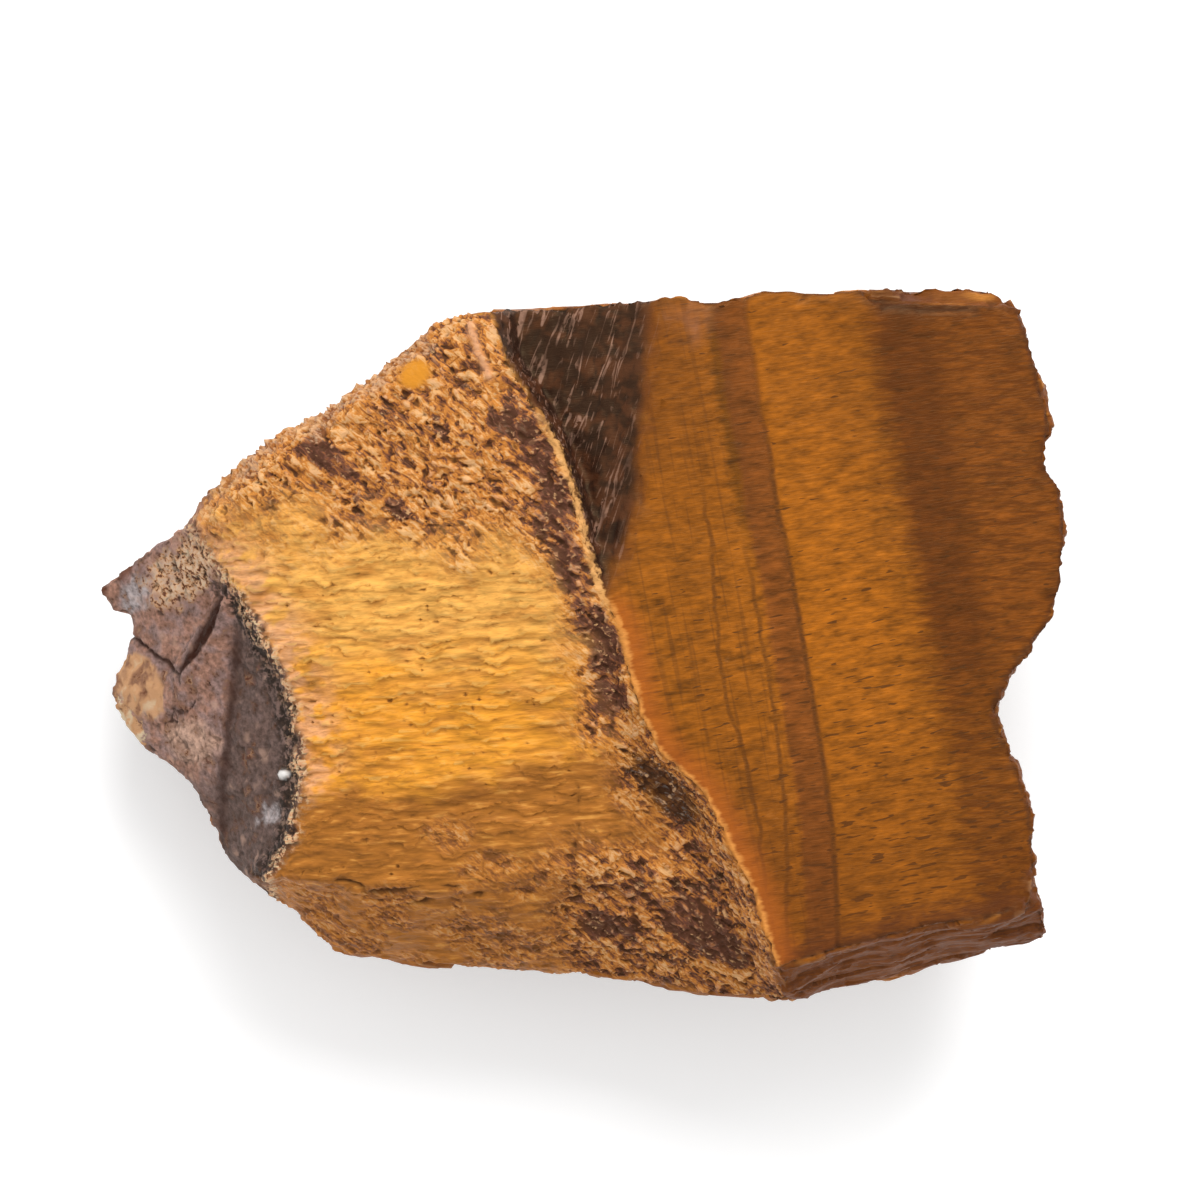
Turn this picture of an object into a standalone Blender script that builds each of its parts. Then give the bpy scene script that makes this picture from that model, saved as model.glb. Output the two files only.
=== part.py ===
"""Rough tiger's eye: one broken lump of fibrous quartz, lying on its flat underside.

The golden fibres run along X, across the seam that the lump broke out of. Its left end is the
seam's ironstone wall, and its right end is the scalloped far side of the seam. The upper side is
two fracture faces: a smooth banded face on the right, and a rough fibrous face on the left. They
cross like a pair of scissors along one jagged ridge, so the left face stands above a dark wedge
at the back and the right face stands above a hollow at the front.

Every point below is (x, y, z) in millimetres, with the underside at z = 0. The solid is built in
metres: a top skin draped over the feature lines, a wall dropped from the rim to the flat
underside, and fracture planes that cut the wall under.
"""
import math

import bmesh
import bpy
from mathutils import Vector, noise
from mathutils.bvhtree import BVHTree
from mathutils.geometry import delaunay_2d_cdt

METRES_PER_MM = 0.001
NODE_NAME = "tigers_eye_stone"

# Size of the triangles, mm.
TOP_SPACING = 2.3
RIM_SPACING = 2.3
WALL_ROWS = 11
MIN_GAP_TO_LINE = 0.62          # fill points keep this share of the spacing away from any line
CDT_EPSILON = 1e-5
SMALLEST_AREA = 1e-3
SHORTEST_SQUARED = 1e-9         # keeps a stretch of no length from being divided by
ABOVE_ALL = 100.0               # mm: higher than the stone anywhere
USUAL_HEIGHT = 30.0             # mm: about where most of the upper side lies

# The smooth right face is one plane, which falls gently to the right.
RIGHT_FACE_HEIGHT = 33.9
RIGHT_FACE_FALL = 0.062         # mm down for each mm to the right

# How unevenly the fill points lie: the reach of a shift, as a share of the spacing, and its pattern.
JOLT_SHARE = 0.18
JOLT_SCALE = 1.3
JOLT_LAYERS = (3.7, 8.2)        # one layer of the pattern shifts points along X, the other along Y

# Roughness of each kind of surface: height of the bumps, mm, and their length along X, Y and Z.
SMOOTH_BUMPS = (0.10, (16.0, 16.0, 16.0))
FIBRE_BUMPS = (0.30, (11.0, 4.2, 4.2))
CRUST_BUMPS = (0.35, (5.5, 5.5, 5.5))
WALL_BUMPS = (0.75, (13.0, 6.0, 5.0))
END_BUMPS = (0.65, (6.0, 6.5, 6.0))
FINE_SCALE = 2.3                # the finer bumps are this much shorter than the broad ones
FINE_SHARE = 0.5                # and this much lower
FINE_SHIFT = (5.1, 7.7, 2.3)    # keeps the two patterns apart
FACING_UP = 0.45                # upward share of the facing, from which a face counts as the top
CRUST_EDGE_X = -28.9            # left of this the surface is ironstone crust
RIGHT_END_X = 39.6              # right of this the wall is the far side of the seam
SMOOTH_FACE_X = 4.6             # left of this there is no smooth right face
SMOOTH_FACE_DEPTH = 0.6         # the smooth face reaches this far below its plane


def on_right_face(x, y, below=0.0):
    """A point on the smooth right face, or a little below it."""
    return (x, y, RIGHT_FACE_HEIGHT - RIGHT_FACE_FALL * x - below)


# ---- The rim: where the upper faces turn over into the walls, anticlockwise from the left tip.
LEFT_RIM = [
    (-45.9, 5.3, 14.0), (-44.9, 3.3, 14.0), (-43.1, 2.9, 14.5), (-43.0, 1.4, 14.0),
    (-44.2, -2.5, 13.0), (-44.9, -4.4, 12.5), (-44.9, -6.2, 12.5), (-43.4, -8.3, 13.0),
    (-41.4, -10.2, 14.0), (-38.5, -12.1, 16.0), (-36.6, -14.0, 17.0), (-35.4, -16.4, 17.0),
    (-33.8, -19.9, 17.0), (-32.5, -21.9, 17.5), (-30.1, -23.5, 18.0),
]
FRONT_RIM = [
    (-27.3, -25.5, 18.0), (-23.5, -28.8, 19.0), (-20.8, -29.9, 19.0), (-13.6, -30.4, 20.0),
    (-7.4, -30.6, 20.0), (0.7, -31.4, 20.0), (5.5, -31.8, 20.5), (10.3, -32.9, 21.0),
    (15.0, -33.2, 22.0), (19.8, -34.0, 23.0), (22.1, -33.5, 23.0), (24.5, -32.8, 23.0),
    (30.7, -31.8, 23.0), (34.0, -30.4, 23.0), (38.8, -29.1, 23.0), (44.5, -28.2, 24.0),
]
RIGHT_RIM = [
    (44.5, -26.9, 27.0), (43.8, -23.9, 29.6), (43.1, -21.1, 30.4), (43.0, -18.3, 30.8),
    (42.8, -15.4, 30.9), (42.2, -13.6, 30.9), (40.6, -9.8, 31.0), (39.8, -7.9, 31.1),
    (39.5, -6.2, 31.1), (40.0, -4.2, 31.1), (41.2, -2.3, 31.0), (42.8, -0.4, 30.9),
    (44.2, 1.5, 30.8), (45.4, 5.7, 30.7), (45.9, 9.2, 30.7), (46.0, 12.8, 30.6),
    (45.5, 14.6, 30.7), (44.4, 16.3, 30.8), (43.9, 17.9, 30.8), (44.4, 20.1, 30.8),
    (44.2, 22.2, 30.8), (43.6, 24.0, 30.8), (42.9, 27.8, 30.9), (42.4, 29.7, 30.8),
    (41.7, 31.5, 30.6), (40.7, 32.7, 30.4), (39.5, 33.4, 30.2),
]
BACK_RIM = [
    (38.3, 33.9, 30.0), (33.6, 33.9, 30.2), (28.9, 33.6, 31.2), (26.6, 33.3, 31.9),
    (21.9, 33.1, 32.2), (19.5, 33.4, 32.4), (17.2, 33.3, 32.5), (14.8, 32.7, 32.7),
    (12.5, 32.3, 32.8), (10.1, 32.7, 32.9), (7.8, 32.7, 33.0), (5.4, 32.3, 32.6),
    (-1.6, 31.7, 31.6), (-6.0, 31.3, 31.2), (-8.0, 31.4, 33.4), (-10.7, 31.0, 32.6),
]
BACK_LEFT_RIM = [
    (-13.4, 30.2, 31.6), (-15.7, 28.4, 31.0), (-19.3, 25.3, 30.0), (-22.3, 22.9, 29.2),
    (-25.2, 21.2, 28.5), (-27.5, 20.3, 28.0), (-29.9, 18.8, 27.5), (-32.3, 16.9, 27.0),
    (-34.8, 14.9, 26.0), (-36.0, 12.8, 25.0), (-37.2, 11.2, 23.6), (-40.0, 9.5, 20.0),
    (-42.6, 7.8, 17.0), (-44.9, 6.1, 15.0),
]
RIM = LEFT_RIM + FRONT_RIM + RIGHT_RIM + BACK_RIM + BACK_LEFT_RIM

# ---- Lines on the upper side, each a crease in the surface.
# The left face's upper edge, standing over the dark wedge, then the right face's own edge,
# standing over the hollow: together they are the ridge.
WEDGE_CREST = [
    (-8.0, 31.4, 33.4), (-6.4, 26.6, 35.0), (-3.6, 22.1, 35.4), (-1.7, 18.5, 35.3),
    (-0.3, 15.2, 35.0), (0.7, 11.5, 34.7), (1.4, 8.0, 34.2), (2.7, 4.3, 33.75),
]
RIDGE_CREST = [
    (2.7, 4.3, 33.75), on_right_face(4.2, 0.6), on_right_face(5.0, -3.2), on_right_face(6.0, -6.9),
    on_right_face(7.7, -10.1), on_right_face(11.5, -13.6), on_right_face(13.0, -16.2),
    on_right_face(14.3, -19.0), on_right_face(16.6, -23.6), on_right_face(17.6, -26.9),
    on_right_face(18.5, -30.2, 0.3), (19.5, -32.1, 30.0),
]
# The floor of the dark wedge, just under the left face's edge.
WEDGE_FOOT = [
    (-6.0, 31.3, 31.2), (-5.1, 26.6, 31.3), (-2.4, 22.4, 31.2), (-0.6, 18.7, 31.2),
    (0.7, 15.3, 31.4), (1.6, 11.5, 31.9), (2.1, 8.0, 32.8), (2.7, 4.3, 33.75),
]
# Where the wedge fades into the smooth right face.
WEDGE_FADE = [
    (7.8, 32.7, 33.0), (6.9, 23.2, 33.2), (6.2, 13.8, 33.3), (5.0, 8.2, 33.5), (2.7, 4.3, 33.75),
]
# The left face along the foot of the ridge.
RIDGE_FOOT = [
    (2.7, 4.3, 33.75), (2.0, 0.6, 32.4), (3.3, -3.2, 31.7), (4.8, -7.1, 31.0),
    (6.4, -10.7, 30.1), (9.7, -14.4, 29.0), (12.2, -19.1, 28.5), (14.0, -22.9, 27.9),
    (15.5, -26.7, 27.0), (17.1, -30.4, 25.4), (18.6, -32.6, 24.0),
]
# A low step across the left face: its upper and lower edge.
STEP_TOP = [(-25.6, -14.1, 29.6), (-18.6, -14.6, 30.3), (-10.1, -13.1, 30.9), (-1.6, -11.0, 31.1)]
STEP_FOOT = [(-25.8, -15.1, 28.7), (-18.6, -15.7, 29.4), (-10.1, -14.4, 30.0), (-1.4, -12.3, 30.2)]
# Where the left face turns down into the shaded strip along the front.
FRONT_STRIP_TOP = [
    (-29.4, -22.1, 26.6), (-21.4, -22.6, 27.6), (-12.9, -23.0, 28.0), (-7.3, -22.1, 28.3),
    (-1.6, -21.2, 28.1), (5.0, -21.7, 27.3), (10.2, -23.2, 26.6),
]
# Where the smooth face breaks away into the steep strip at its front right.
RIGHT_STRIP_TOP = [
    (18.5, -30.2, 32.5), on_right_face(22.8, -29.1, 0.2), on_right_face(27.5, -27.7, 0.1),
    on_right_face(33.2, -26.3, 0.1), on_right_face(38.4, -25.6, 0.2), (43.8, -23.9, 29.6),
]
# The crust's edge, and the crease and the crack inside the crust.
CRUST_EDGE = [
    (-36.3, 11.1, 25.2), (-34.1, 8.1, 27.2), (-31.8, 5.3, 28.2), (-29.1, 0.6, 28.7),
    (-26.9, -4.1, 28.7), (-25.8, -8.9, 28.6), (-25.8, -11.7, 28.4), (-26.3, -15.5, 28.0),
    (-27.0, -19.3, 27.2), (-28.9, -22.0, 26.4),
]
CRUST_CREASE = [
    (-32.3, 5.0, 26.6), (-32.4, 0.5, 24.2), (-32.8, -4.3, 23.0), (-33.5, -9.1, 22.0),
    (-34.0, -12.9, 20.6), (-34.3, -17.3, 17.6),
]
CRACK_UPPER_LIP = [(-33.6, 4.4, 25.6), (-35.1, 1.9, 23.8), (-37.0, -0.7, 22.0), (-38.5, -2.9, 20.4)]
CRACK_FOOT = [(-34.4, 4.7, 23.2), (-35.9, 2.2, 21.2), (-37.8, -0.4, 19.2), (-39.2, -2.7, 18.0)]
ORANGE_PATCH_EDGE = [(-39.2, -2.7, 18.0), (-38.0, -5.8, 18.6), (-37.4, -9.2, 18.4)]
# The rough bevel along the back left edge.
BACK_LEFT_BEVEL = [
    (-34.0, 12.2, 28.2), (-28.8, 16.5, 30.3), (-23.2, 20.7, 31.6), (-17.6, 24.4, 32.8),
    (-12.9, 28.2, 33.6), (-9.2, 29.8, 34.2),
]
# The thin ledge at the back right corner.
LEDGE_FOOT = [(27.8, 32.8, 31.4), (33.6, 32.9, 30.7), (38.0, 32.9, 30.5)]
LEDGE_TOP = [
    on_right_face(27.2, 32.1, 0.05), on_right_face(33.6, 31.9, 0.05), on_right_face(38.6, 31.8, 0.1),
]
FEATURE_LINES = [
    WEDGE_CREST, RIDGE_CREST, WEDGE_FOOT, WEDGE_FADE, RIDGE_FOOT, STEP_TOP, STEP_FOOT,
    FRONT_STRIP_TOP, RIGHT_STRIP_TOP, CRUST_EDGE, CRUST_CREASE, CRACK_UPPER_LIP, CRACK_FOOT,
    ORANGE_PATCH_EDGE, BACK_LEFT_BEVEL, LEDGE_FOOT, LEDGE_TOP,
]

# Single high and low points between the lines.
SPOT_HEIGHTS = [
    (-14.9, 25.2, 33.7), (-25.4, 16.6, 31.0), (-17.1, 14.7, 32.2), (-10.6, 18.5, 34.0),
    (-7.0, 8.2, 33.2), (-25.4, 4.4, 29.8), (-16.4, 4.4, 31.1), (-5.3, 0.6, 32.4),
    (-22.9, -5.0, 29.9), (-11.8, -5.0, 31.1), (-1.6, -5.0, 31.7), (2.1, -11.4, 30.6),
    (-25.7, -19.1, 27.8), (-16.3, -19.1, 28.7), (-7.0, -18.2, 29.4), (2.1, -17.3, 29.2),
    (5.9, -13.5, 28.7), (7.7, -17.2, 27.6), (10.3, -20.2, 27.5), (-40.4, 4.2, 18.2),
    (-1.9, 27.7, 31.6), (3.1, 20.2, 32.2), (3.6, 28.2, 32.3), (-19.4, -26.2, 24.2),
    (-5.4, -26.8, 25.0), (6.6, -27.4, 24.2),
    on_right_face(12.6, 22.2), on_right_face(17.6, 5.2), on_right_face(24.6, 20.2),
    on_right_face(30.6, -5.8), on_right_face(38.6, 14.2), on_right_face(24.6, -17.8),
]

# ---- The walls drop from the rim almost straight down, and fracture planes cut them under.
WALL_TAPER = 0.035              # share of its way to the middle that the wall leans in, rim to base
# Each cut is a point on the plane and the way the plane faces; all beyond it has broken off.
WALL_CUTS = [
    # Front: a steep upper break, then broad undercuts.
    ((-17.4, -30.3, 17.0), (-0.22, -0.95, -0.22)),
    ((12.6, -33.0, 17.0), (0.05, -0.97, -0.24)),
    ((-23.4, -25.8, 9.5), (-0.38, -0.70, -0.60)),
    ((6.6, -29.4, 11.0), (0.03, -0.83, -0.56)),
    ((33.6, -27.8, 12.5), (0.34, -0.77, -0.54)),
    ((43.2, -27.2, 14.0), (0.80, -0.52, -0.30)),
    # Right end.
    ((45.1, -17.8, 24.0), (0.97, 0.02, -0.24)),
    ((41.1, -11.8, 12.0), (0.84, 0.04, -0.54)),
    ((45.2, 10.2, 21.0), (0.96, 0.13, -0.25)),
    ((43.0, 15.2, 11.0), (0.80, 0.24, -0.55)),
    ((41.2, 28.2, 22.0), (0.80, 0.53, -0.27)),
    # Back.
    ((27.6, 33.3, 24.0), (0.04, 0.98, -0.19)),
    ((22.6, 30.8, 12.0), (0.16, 0.82, -0.55)),
    ((0.6, 31.6, 24.0), (-0.06, 0.98, -0.19)),
    ((-5.4, 28.8, 11.0), (-0.20, 0.84, -0.50)),
    ((-18.4, 25.2, 22.0), (-0.52, 0.82, -0.24)),
    ((-25.4, 18.6, 11.0), (-0.46, 0.68, -0.57)),
    ((-40.4, 9.8, 15.0), (-0.50, 0.80, -0.33)),
    # Left end, under the crust.
    ((-44.1, 3.2, 9.0), (-0.86, 0.22, -0.46)),
    ((-42.8, -6.8, 8.0), (-0.83, -0.18, -0.53)),
    ((-36.2, -17.4, 10.0), (-0.66, -0.62, -0.42)),
    ((-30.4, -20.8, 7.5), (-0.58, -0.55, -0.60)),
]
CUT_SNAP = 0.12                 # corners this close to a cut are moved onto it, mm


# ---- Plain geometry helpers, all in millimetres.
def split_line(points, spacing, closed=False):
    """The same line with extra points, so that no stretch is much longer than spacing."""
    stops = points + [points[0]] if closed else points
    result = []
    for start, end in zip(stops, stops[1:]):
        start, end = Vector(start), Vector(end)
        pieces = max(1, round((end - start).length / spacing))
        for step in range(pieces):
            result.append(start.lerp(end, step / pieces))
    if not closed:
        result.append(Vector(stops[-1]))
    return result


def is_inner_face(corners, outline):
    """Whether a plan triangle has a real area and lies inside the outline."""
    a, b, c = corners
    area = (b - a).cross(c - a) / 2
    return abs(area) > SMALLEST_AREA and inside((a + b + c) / 3, outline)


def triangulate_plan(outline, lines, spots):
    """Triangles over the plan, inside the outline, along every line and through every spot.

    Returns the plan points, the triangles, and for each outline point its number in the plan.
    """
    points = [Vector((point[0], point[1])) for point in outline]
    edges = [(index, (index + 1) % len(outline)) for index in range(len(outline))]
    for line in lines:
        first = len(points)
        points += [Vector((point[0], point[1])) for point in line]
        edges += [(first + index, first + index + 1) for index in range(len(line) - 1)]
    points += [Vector((spot[0], spot[1])) for spot in spots]
    plan, _, faces, sources, _, _ = delaunay_2d_cdt(points, edges, [], 0, CDT_EPSILON, True)
    faces = [face for face in faces if is_inner_face([plan[number] for number in face], outline)]
    number_of = {}
    for number, ids in enumerate(sources):
        for source in ids:
            number_of[source] = number
    return plan, faces, [number_of[index] for index in range(len(outline))]


def nearest_height(point, known):
    """The height of the known point closest in plan."""
    return min(known, key=lambda other: (other[0] - point.x) ** 2 + (other[1] - point.y) ** 2)[2]


def make_height_of():
    """A function that reads the upper side's height from the feature lines and spot heights."""
    plan, faces, _ = triangulate_plan(RIM, FEATURE_LINES, SPOT_HEIGHTS)
    known = RIM + [point for line in FEATURE_LINES for point in line] + SPOT_HEIGHTS
    corners = [Vector((point.x, point.y, nearest_height(point, known))) for point in plan]
    skin = BVHTree.FromPolygons(corners, faces)

    def height_of(x, y):
        hit = skin.ray_cast(Vector((x, y, ABOVE_ALL)), Vector((0.0, 0.0, -1.0)))[0]
        if hit is None:
            hit = skin.find_nearest(Vector((x, y, USUAL_HEIGHT)))[0]
        return hit.z

    return height_of


def distance_to_segments(point, segments):
    """The shortest distance in plan from a point to any of the segments."""
    best = math.inf
    for start, end in segments:
        along = end - start
        share = (point - start).dot(along) / max(along.length_squared, SHORTEST_SQUARED)
        share = min(1.0, max(0.0, share))
        best = min(best, (point - start - along * share).length)
    return best


def plan_segments(lines):
    """Each stretch of the lines as a pair of plan points."""
    flat = [[Vector((point[0], point[1])) for point in line] for line in lines]
    return [pair for line in flat for pair in zip(line, line[1:])]


def inside(point, outline):
    """Whether a plan point lies inside a closed outline, by counting crossings."""
    crossings = 0
    for (ax, ay, *_), (bx, by, *_) in zip(outline, outline[1:] + outline[:1]):
        if (ay > point.y) != (by > point.y):
            crossings += point.x < ax + (point.y - ay) / (by - ay) * (bx - ax)
    return crossings % 2 == 1


def fill_points(outline, lines, spacing):
    """A slightly uneven grid of equilateral triangles, clear of the outline and of the lines."""
    segments = plan_segments([outline + [outline[0]]] + lines)
    low_x = min(point[0] for point in outline)
    high_x = max(point[0] for point in outline)
    low_y = min(point[1] for point in outline)
    high_y = max(point[1] for point in outline)
    row_height = spacing * math.sqrt(3) / 2
    result = []
    for row in range(int((high_y - low_y) / row_height) + 1):
        shift = spacing / 2 if row % 2 else 0.0
        for column in range(int((high_x - low_x) / spacing) + 1):
            point = Vector((low_x + shift + column * spacing, low_y + row * row_height))
            jolt = [noise.noise(Vector((point.x, point.y, layer)) * JOLT_SCALE) for layer in JOLT_LAYERS]
            point += Vector(jolt) * spacing * JOLT_SHARE
            if not inside(point, outline):
                continue
            if distance_to_segments(point, segments) > spacing * MIN_GAP_TO_LINE:
                result.append(point)
    return result


# ---- The three skins of the stone.
def top_skin(height_of):
    """The upper side: points, triangles, and the numbers of the rim's points in order."""
    rim = split_line(RIM, RIM_SPACING, closed=True)
    lines = [split_line(line, TOP_SPACING) for line in FEATURE_LINES]
    fill = fill_points([tuple(point) for point in rim], lines, TOP_SPACING)
    plan, faces, rim_numbers = triangulate_plan(rim, lines, fill)
    points = [Vector((point.x, point.y, height_of(point.x, point.y))) for point in plan]
    for number, corner in zip(rim_numbers, rim):
        points[number] = corner.copy()
    return points, [list(face) for face in faces], rim_numbers


def wall_rings(rim):
    """Rings of points from just under the rim down to the edge of the underside."""
    middle = sum((point.to_2d() for point in rim), Vector((0.0, 0.0))) / len(rim)
    rings = []
    for row in range(1, WALL_ROWS + 1):
        down = row / WALL_ROWS
        ring = []
        for point in rim:
            plan = point.to_2d().lerp(middle, WALL_TAPER * down)
            ring.append(Vector((plan.x, plan.y, point.z * (1.0 - down))))
        rings.append(ring)
    return rings


def wall_quads(rings):
    """A four-sided face for each gap between two neighbours in neighbouring rings."""
    quads = []
    for upper, lower in zip(rings, rings[1:]):
        for index in range(len(upper)):
            following = (index + 1) % len(upper)
            a, b, c, d = upper[index], upper[following], lower[following], lower[index]
            quads.append((a, d, c, b))
    return quads


def split_quads(points, quads):
    """The quads as triangles, each cut along its shorter diagonal."""
    faces = []
    for a, b, c, d in quads:
        if (points[a] - points[c]).length < (points[b] - points[d]).length:
            faces += [(a, b, c), (a, c, d)]
        else:
            faces += [(a, b, d), (b, c, d)]
    return faces


# ---- Roughness.
def bump_kind(point, normal):
    """Which roughness the surface has at a point: its height and its lengths along X, Y, Z."""
    facing_up = normal.z > FACING_UP
    lowest_smooth = on_right_face(point.x, point.y, SMOOTH_FACE_DEPTH)[2]
    if facing_up and point.z >= lowest_smooth and point.x > SMOOTH_FACE_X:
        return SMOOTH_BUMPS
    if point.x < CRUST_EDGE_X:
        return CRUST_BUMPS
    if facing_up:
        return FIBRE_BUMPS
    if point.x > RIGHT_END_X:
        return END_BUMPS
    return WALL_BUMPS


def roughen(points, normals, fixed):
    """Each point moved along its normal by smooth noise; fixed points stay where they are."""
    result = []
    for number, (point, normal) in enumerate(zip(points, normals)):
        if number in fixed:
            result.append(point)
            continue
        height, (long_x, long_y, long_z) = bump_kind(point, normal)
        place = Vector((point.x / long_x, point.y / long_y, point.z / long_z))
        broad = noise.noise(place)
        fine = noise.noise(place * FINE_SCALE + Vector(FINE_SHIFT))
        result.append(point + normal * height * (broad + FINE_SHARE * fine))
    return result


def point_normals(points, faces):
    """The average direction of the faces around each point."""
    normals = [Vector() for _ in points]
    for face in faces:
        a, b, c = (points[number] for number in face[:3])
        facing = (b - a).cross(c - a)
        for number in face:
            normals[number] += facing
    return [normal.normalized() for normal in normals]


# ---- The solid.
def stone_skin():
    """All points and faces of the uncut stone, in millimetres."""
    points, faces, rim_numbers = top_skin(make_height_of())
    rim = [points[number] for number in rim_numbers]
    rings = [list(rim_numbers)]
    for ring in wall_rings(rim):
        rings.append(list(range(len(points), len(points) + len(ring))))
        points += ring
    faces += split_quads(points, wall_quads(rings))
    underside = list(reversed(rings[-1]))
    faces.append(underside)
    return roughen(points, point_normals(points, faces), set(underside)), faces


def cut_walls(solid):
    """Breaks off all that lies beyond each wall cut, and closes the break with a flat facet."""
    for place, facing in WALL_CUTS:
        everything = solid.verts[:] + solid.edges[:] + solid.faces[:]
        bmesh.ops.bisect_plane(
            solid, geom=everything, dist=CUT_SNAP, plane_co=place, plane_no=facing, clear_outer=True)
        open_edges = [edge for edge in solid.edges if edge.is_boundary]
        bmesh.ops.holes_fill(solid, edges=open_edges, sides=0)
    bmesh.ops.dissolve_degenerate(solid, dist=CUT_SNAP, edges=solid.edges)
    bmesh.ops.triangulate(solid, faces=solid.faces)


def centre_over_origin(solid):
    """Slides the stone so that the middle of its plan is at the origin."""
    for axis in (Vector((1.0, 0.0, 0.0)), Vector((0.0, 1.0, 0.0))):
        reach = [vertex.co.dot(axis) for vertex in solid.verts]
        bmesh.ops.translate(solid, vec=-axis * (min(reach) + max(reach)) / 2, verts=solid.verts)


def make_material():
    """Golden-brown silky quartz."""
    material = bpy.data.materials.new("tigers_eye")
    material.use_nodes = True
    shader = material.node_tree.nodes["Principled BSDF"]
    shader.inputs["Base Color"].default_value = (0.36, 0.13, 0.02, 1.0)
    shader.inputs["Roughness"].default_value = 0.45
    shader.inputs["Metallic"].default_value = 0.0
    return material


def make_stone():
    """The one named solid."""
    points, faces = stone_skin()
    mesh = bpy.data.meshes.new(NODE_NAME)
    mesh.from_pydata(points, [], faces)
    solid = bmesh.new()
    solid.from_mesh(mesh)
    cut_walls(solid)
    centre_over_origin(solid)
    bmesh.ops.scale(solid, vec=Vector((1.0, 1.0, 1.0)) * METRES_PER_MM, verts=solid.verts)
    solid.to_mesh(mesh)
    solid.free()
    mesh.materials.append(make_material())
    stone = bpy.data.objects.new(NODE_NAME, mesh)
    bpy.context.scene.collection.objects.link(stone)
    return stone


def main():
    for old in list(bpy.data.objects):
        bpy.data.objects.remove(old, do_unlink=True)
    make_stone()


main()
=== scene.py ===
"""Looks of the rough tiger's eye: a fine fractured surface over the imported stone, and its finish.

All plan points and sizes are in millimetres in the frame of the CAD part: X along the fibres,
Y towards the back, Z up. The stone's surface is rebuilt finely, broken up zone by zone with
noise, and given one material whose zones come from masks on the surface.
"""

import bmesh
import bpy
import numpy as np
from mathutils import Matrix


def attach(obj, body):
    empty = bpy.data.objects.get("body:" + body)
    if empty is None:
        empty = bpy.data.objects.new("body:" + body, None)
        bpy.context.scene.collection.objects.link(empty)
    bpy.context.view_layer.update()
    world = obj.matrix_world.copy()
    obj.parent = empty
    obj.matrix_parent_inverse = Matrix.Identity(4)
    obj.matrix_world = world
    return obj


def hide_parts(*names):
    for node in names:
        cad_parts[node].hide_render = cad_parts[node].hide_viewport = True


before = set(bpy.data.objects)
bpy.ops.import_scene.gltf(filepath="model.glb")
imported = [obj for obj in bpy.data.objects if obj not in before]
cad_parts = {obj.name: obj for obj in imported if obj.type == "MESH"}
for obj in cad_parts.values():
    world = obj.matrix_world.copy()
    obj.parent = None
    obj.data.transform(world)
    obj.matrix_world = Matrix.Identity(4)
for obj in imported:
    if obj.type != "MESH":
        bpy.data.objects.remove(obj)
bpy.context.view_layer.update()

NODE = "tigers_eye_stone"
BODY = "root"
METRES_PER_MM = 0.001
MM_PER_METRE = 1000.0

# ---- The fine surface.
VOXEL = 0.215                   # mm, across the fibres
ALONG_FIBRE = 1.5               # the surface is this much coarser along X
UNDERSIDE_TOP = 0.05            # mm: what lies lower is the flat underside
MOST_TRIANGLES = 194000
SOFTEN_ROUNDS = 22              # of averaging, to find where the facets' edges stand out
CAVITY_ROUNDS = 16              # of averaging, to find what is a hollow and what is a crest
SHARP_EDGE = 0.12               # mm an edge stands out of the softened surface when it counts in full
CRUST_END = -37.0               # mm along X: the walls left of here are crust
NOISE_SIZE = 256                # random slopes or cell seeds in one noise

# ---- Plan lines, each from back to front or from left to right.
RIDGE = [
    (-8.0, 31.4), (-6.4, 26.6), (-3.6, 22.1), (-1.7, 18.5), (-0.3, 15.2), (0.7, 11.5), (1.4, 8.0),
    (2.7, 4.3), (4.2, 0.6), (5.0, -3.2), (6.0, -6.9), (7.7, -10.1), (11.5, -13.6), (13.0, -16.2),
    (14.3, -19.0), (16.6, -23.6), (17.6, -26.9), (18.5, -30.2), (19.5, -32.1),
]
WEDGE_FADE = [(7.8, 32.7), (6.9, 23.2), (6.2, 13.8), (5.0, 8.2), (2.7, 4.3)]
CRUST_EDGE = [
    (-36.3, 11.1), (-34.1, 8.1), (-31.8, 5.3), (-29.1, 0.6), (-26.9, -4.1), (-25.8, -8.9),
    (-25.8, -11.7), (-26.3, -15.5), (-27.0, -19.3), (-28.9, -22.0),
]
CRUST_CREASE = [(-32.3, 5.0), (-32.4, 0.5), (-32.8, -4.3), (-33.5, -9.1), (-34.0, -12.9), (-34.3, -17.3)]
CRUST_CRACK = [(-33.9, 4.5), (-35.0, 1.9), (-36.5, -0.5), (-38.4, -2.9)]
CRACK_MIDDLE = [(-35.6, 1.2), (-36.2, 0.2)]
CRUST_FINE_CRACKS = [[(-42.7, 0.5), (-39.1, -1.9), (-38.4, -2.9)], [(-39.6, -7.7), (-36.7, -5.3)]]
FRONT_STRIP_TOP = [
    (-29.4, -22.1), (-21.4, -22.6), (-12.9, -23.0), (-7.3, -22.1), (-1.6, -21.2), (5.0, -21.7),
    (10.2, -23.2), (15.5, -26.7),
]
RIGHT_STRIP_TOP = [(18.5, -30.2), (22.8, -29.1), (27.5, -27.7), (33.2, -26.3), (38.4, -25.6), (43.8, -23.9)]
BROWN_STEP = [(-27.0, -13.2), (-18.6, -13.9), (-10.1, -12.4), (-1.6, -9.8), (4.0, -9.0)]
GROOVE = [
    (15.8, 30.7), (16.5, 26.8), (17.1, 22.3), (18.0, 18.4), (18.6, 13.5), (20.0, 7.5), (21.1, 0.6),
    (22.0, -4.4), (23.2, -11.8), (23.9, -17.0), (24.2, -21.4), (24.4, -26.0),
]
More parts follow.
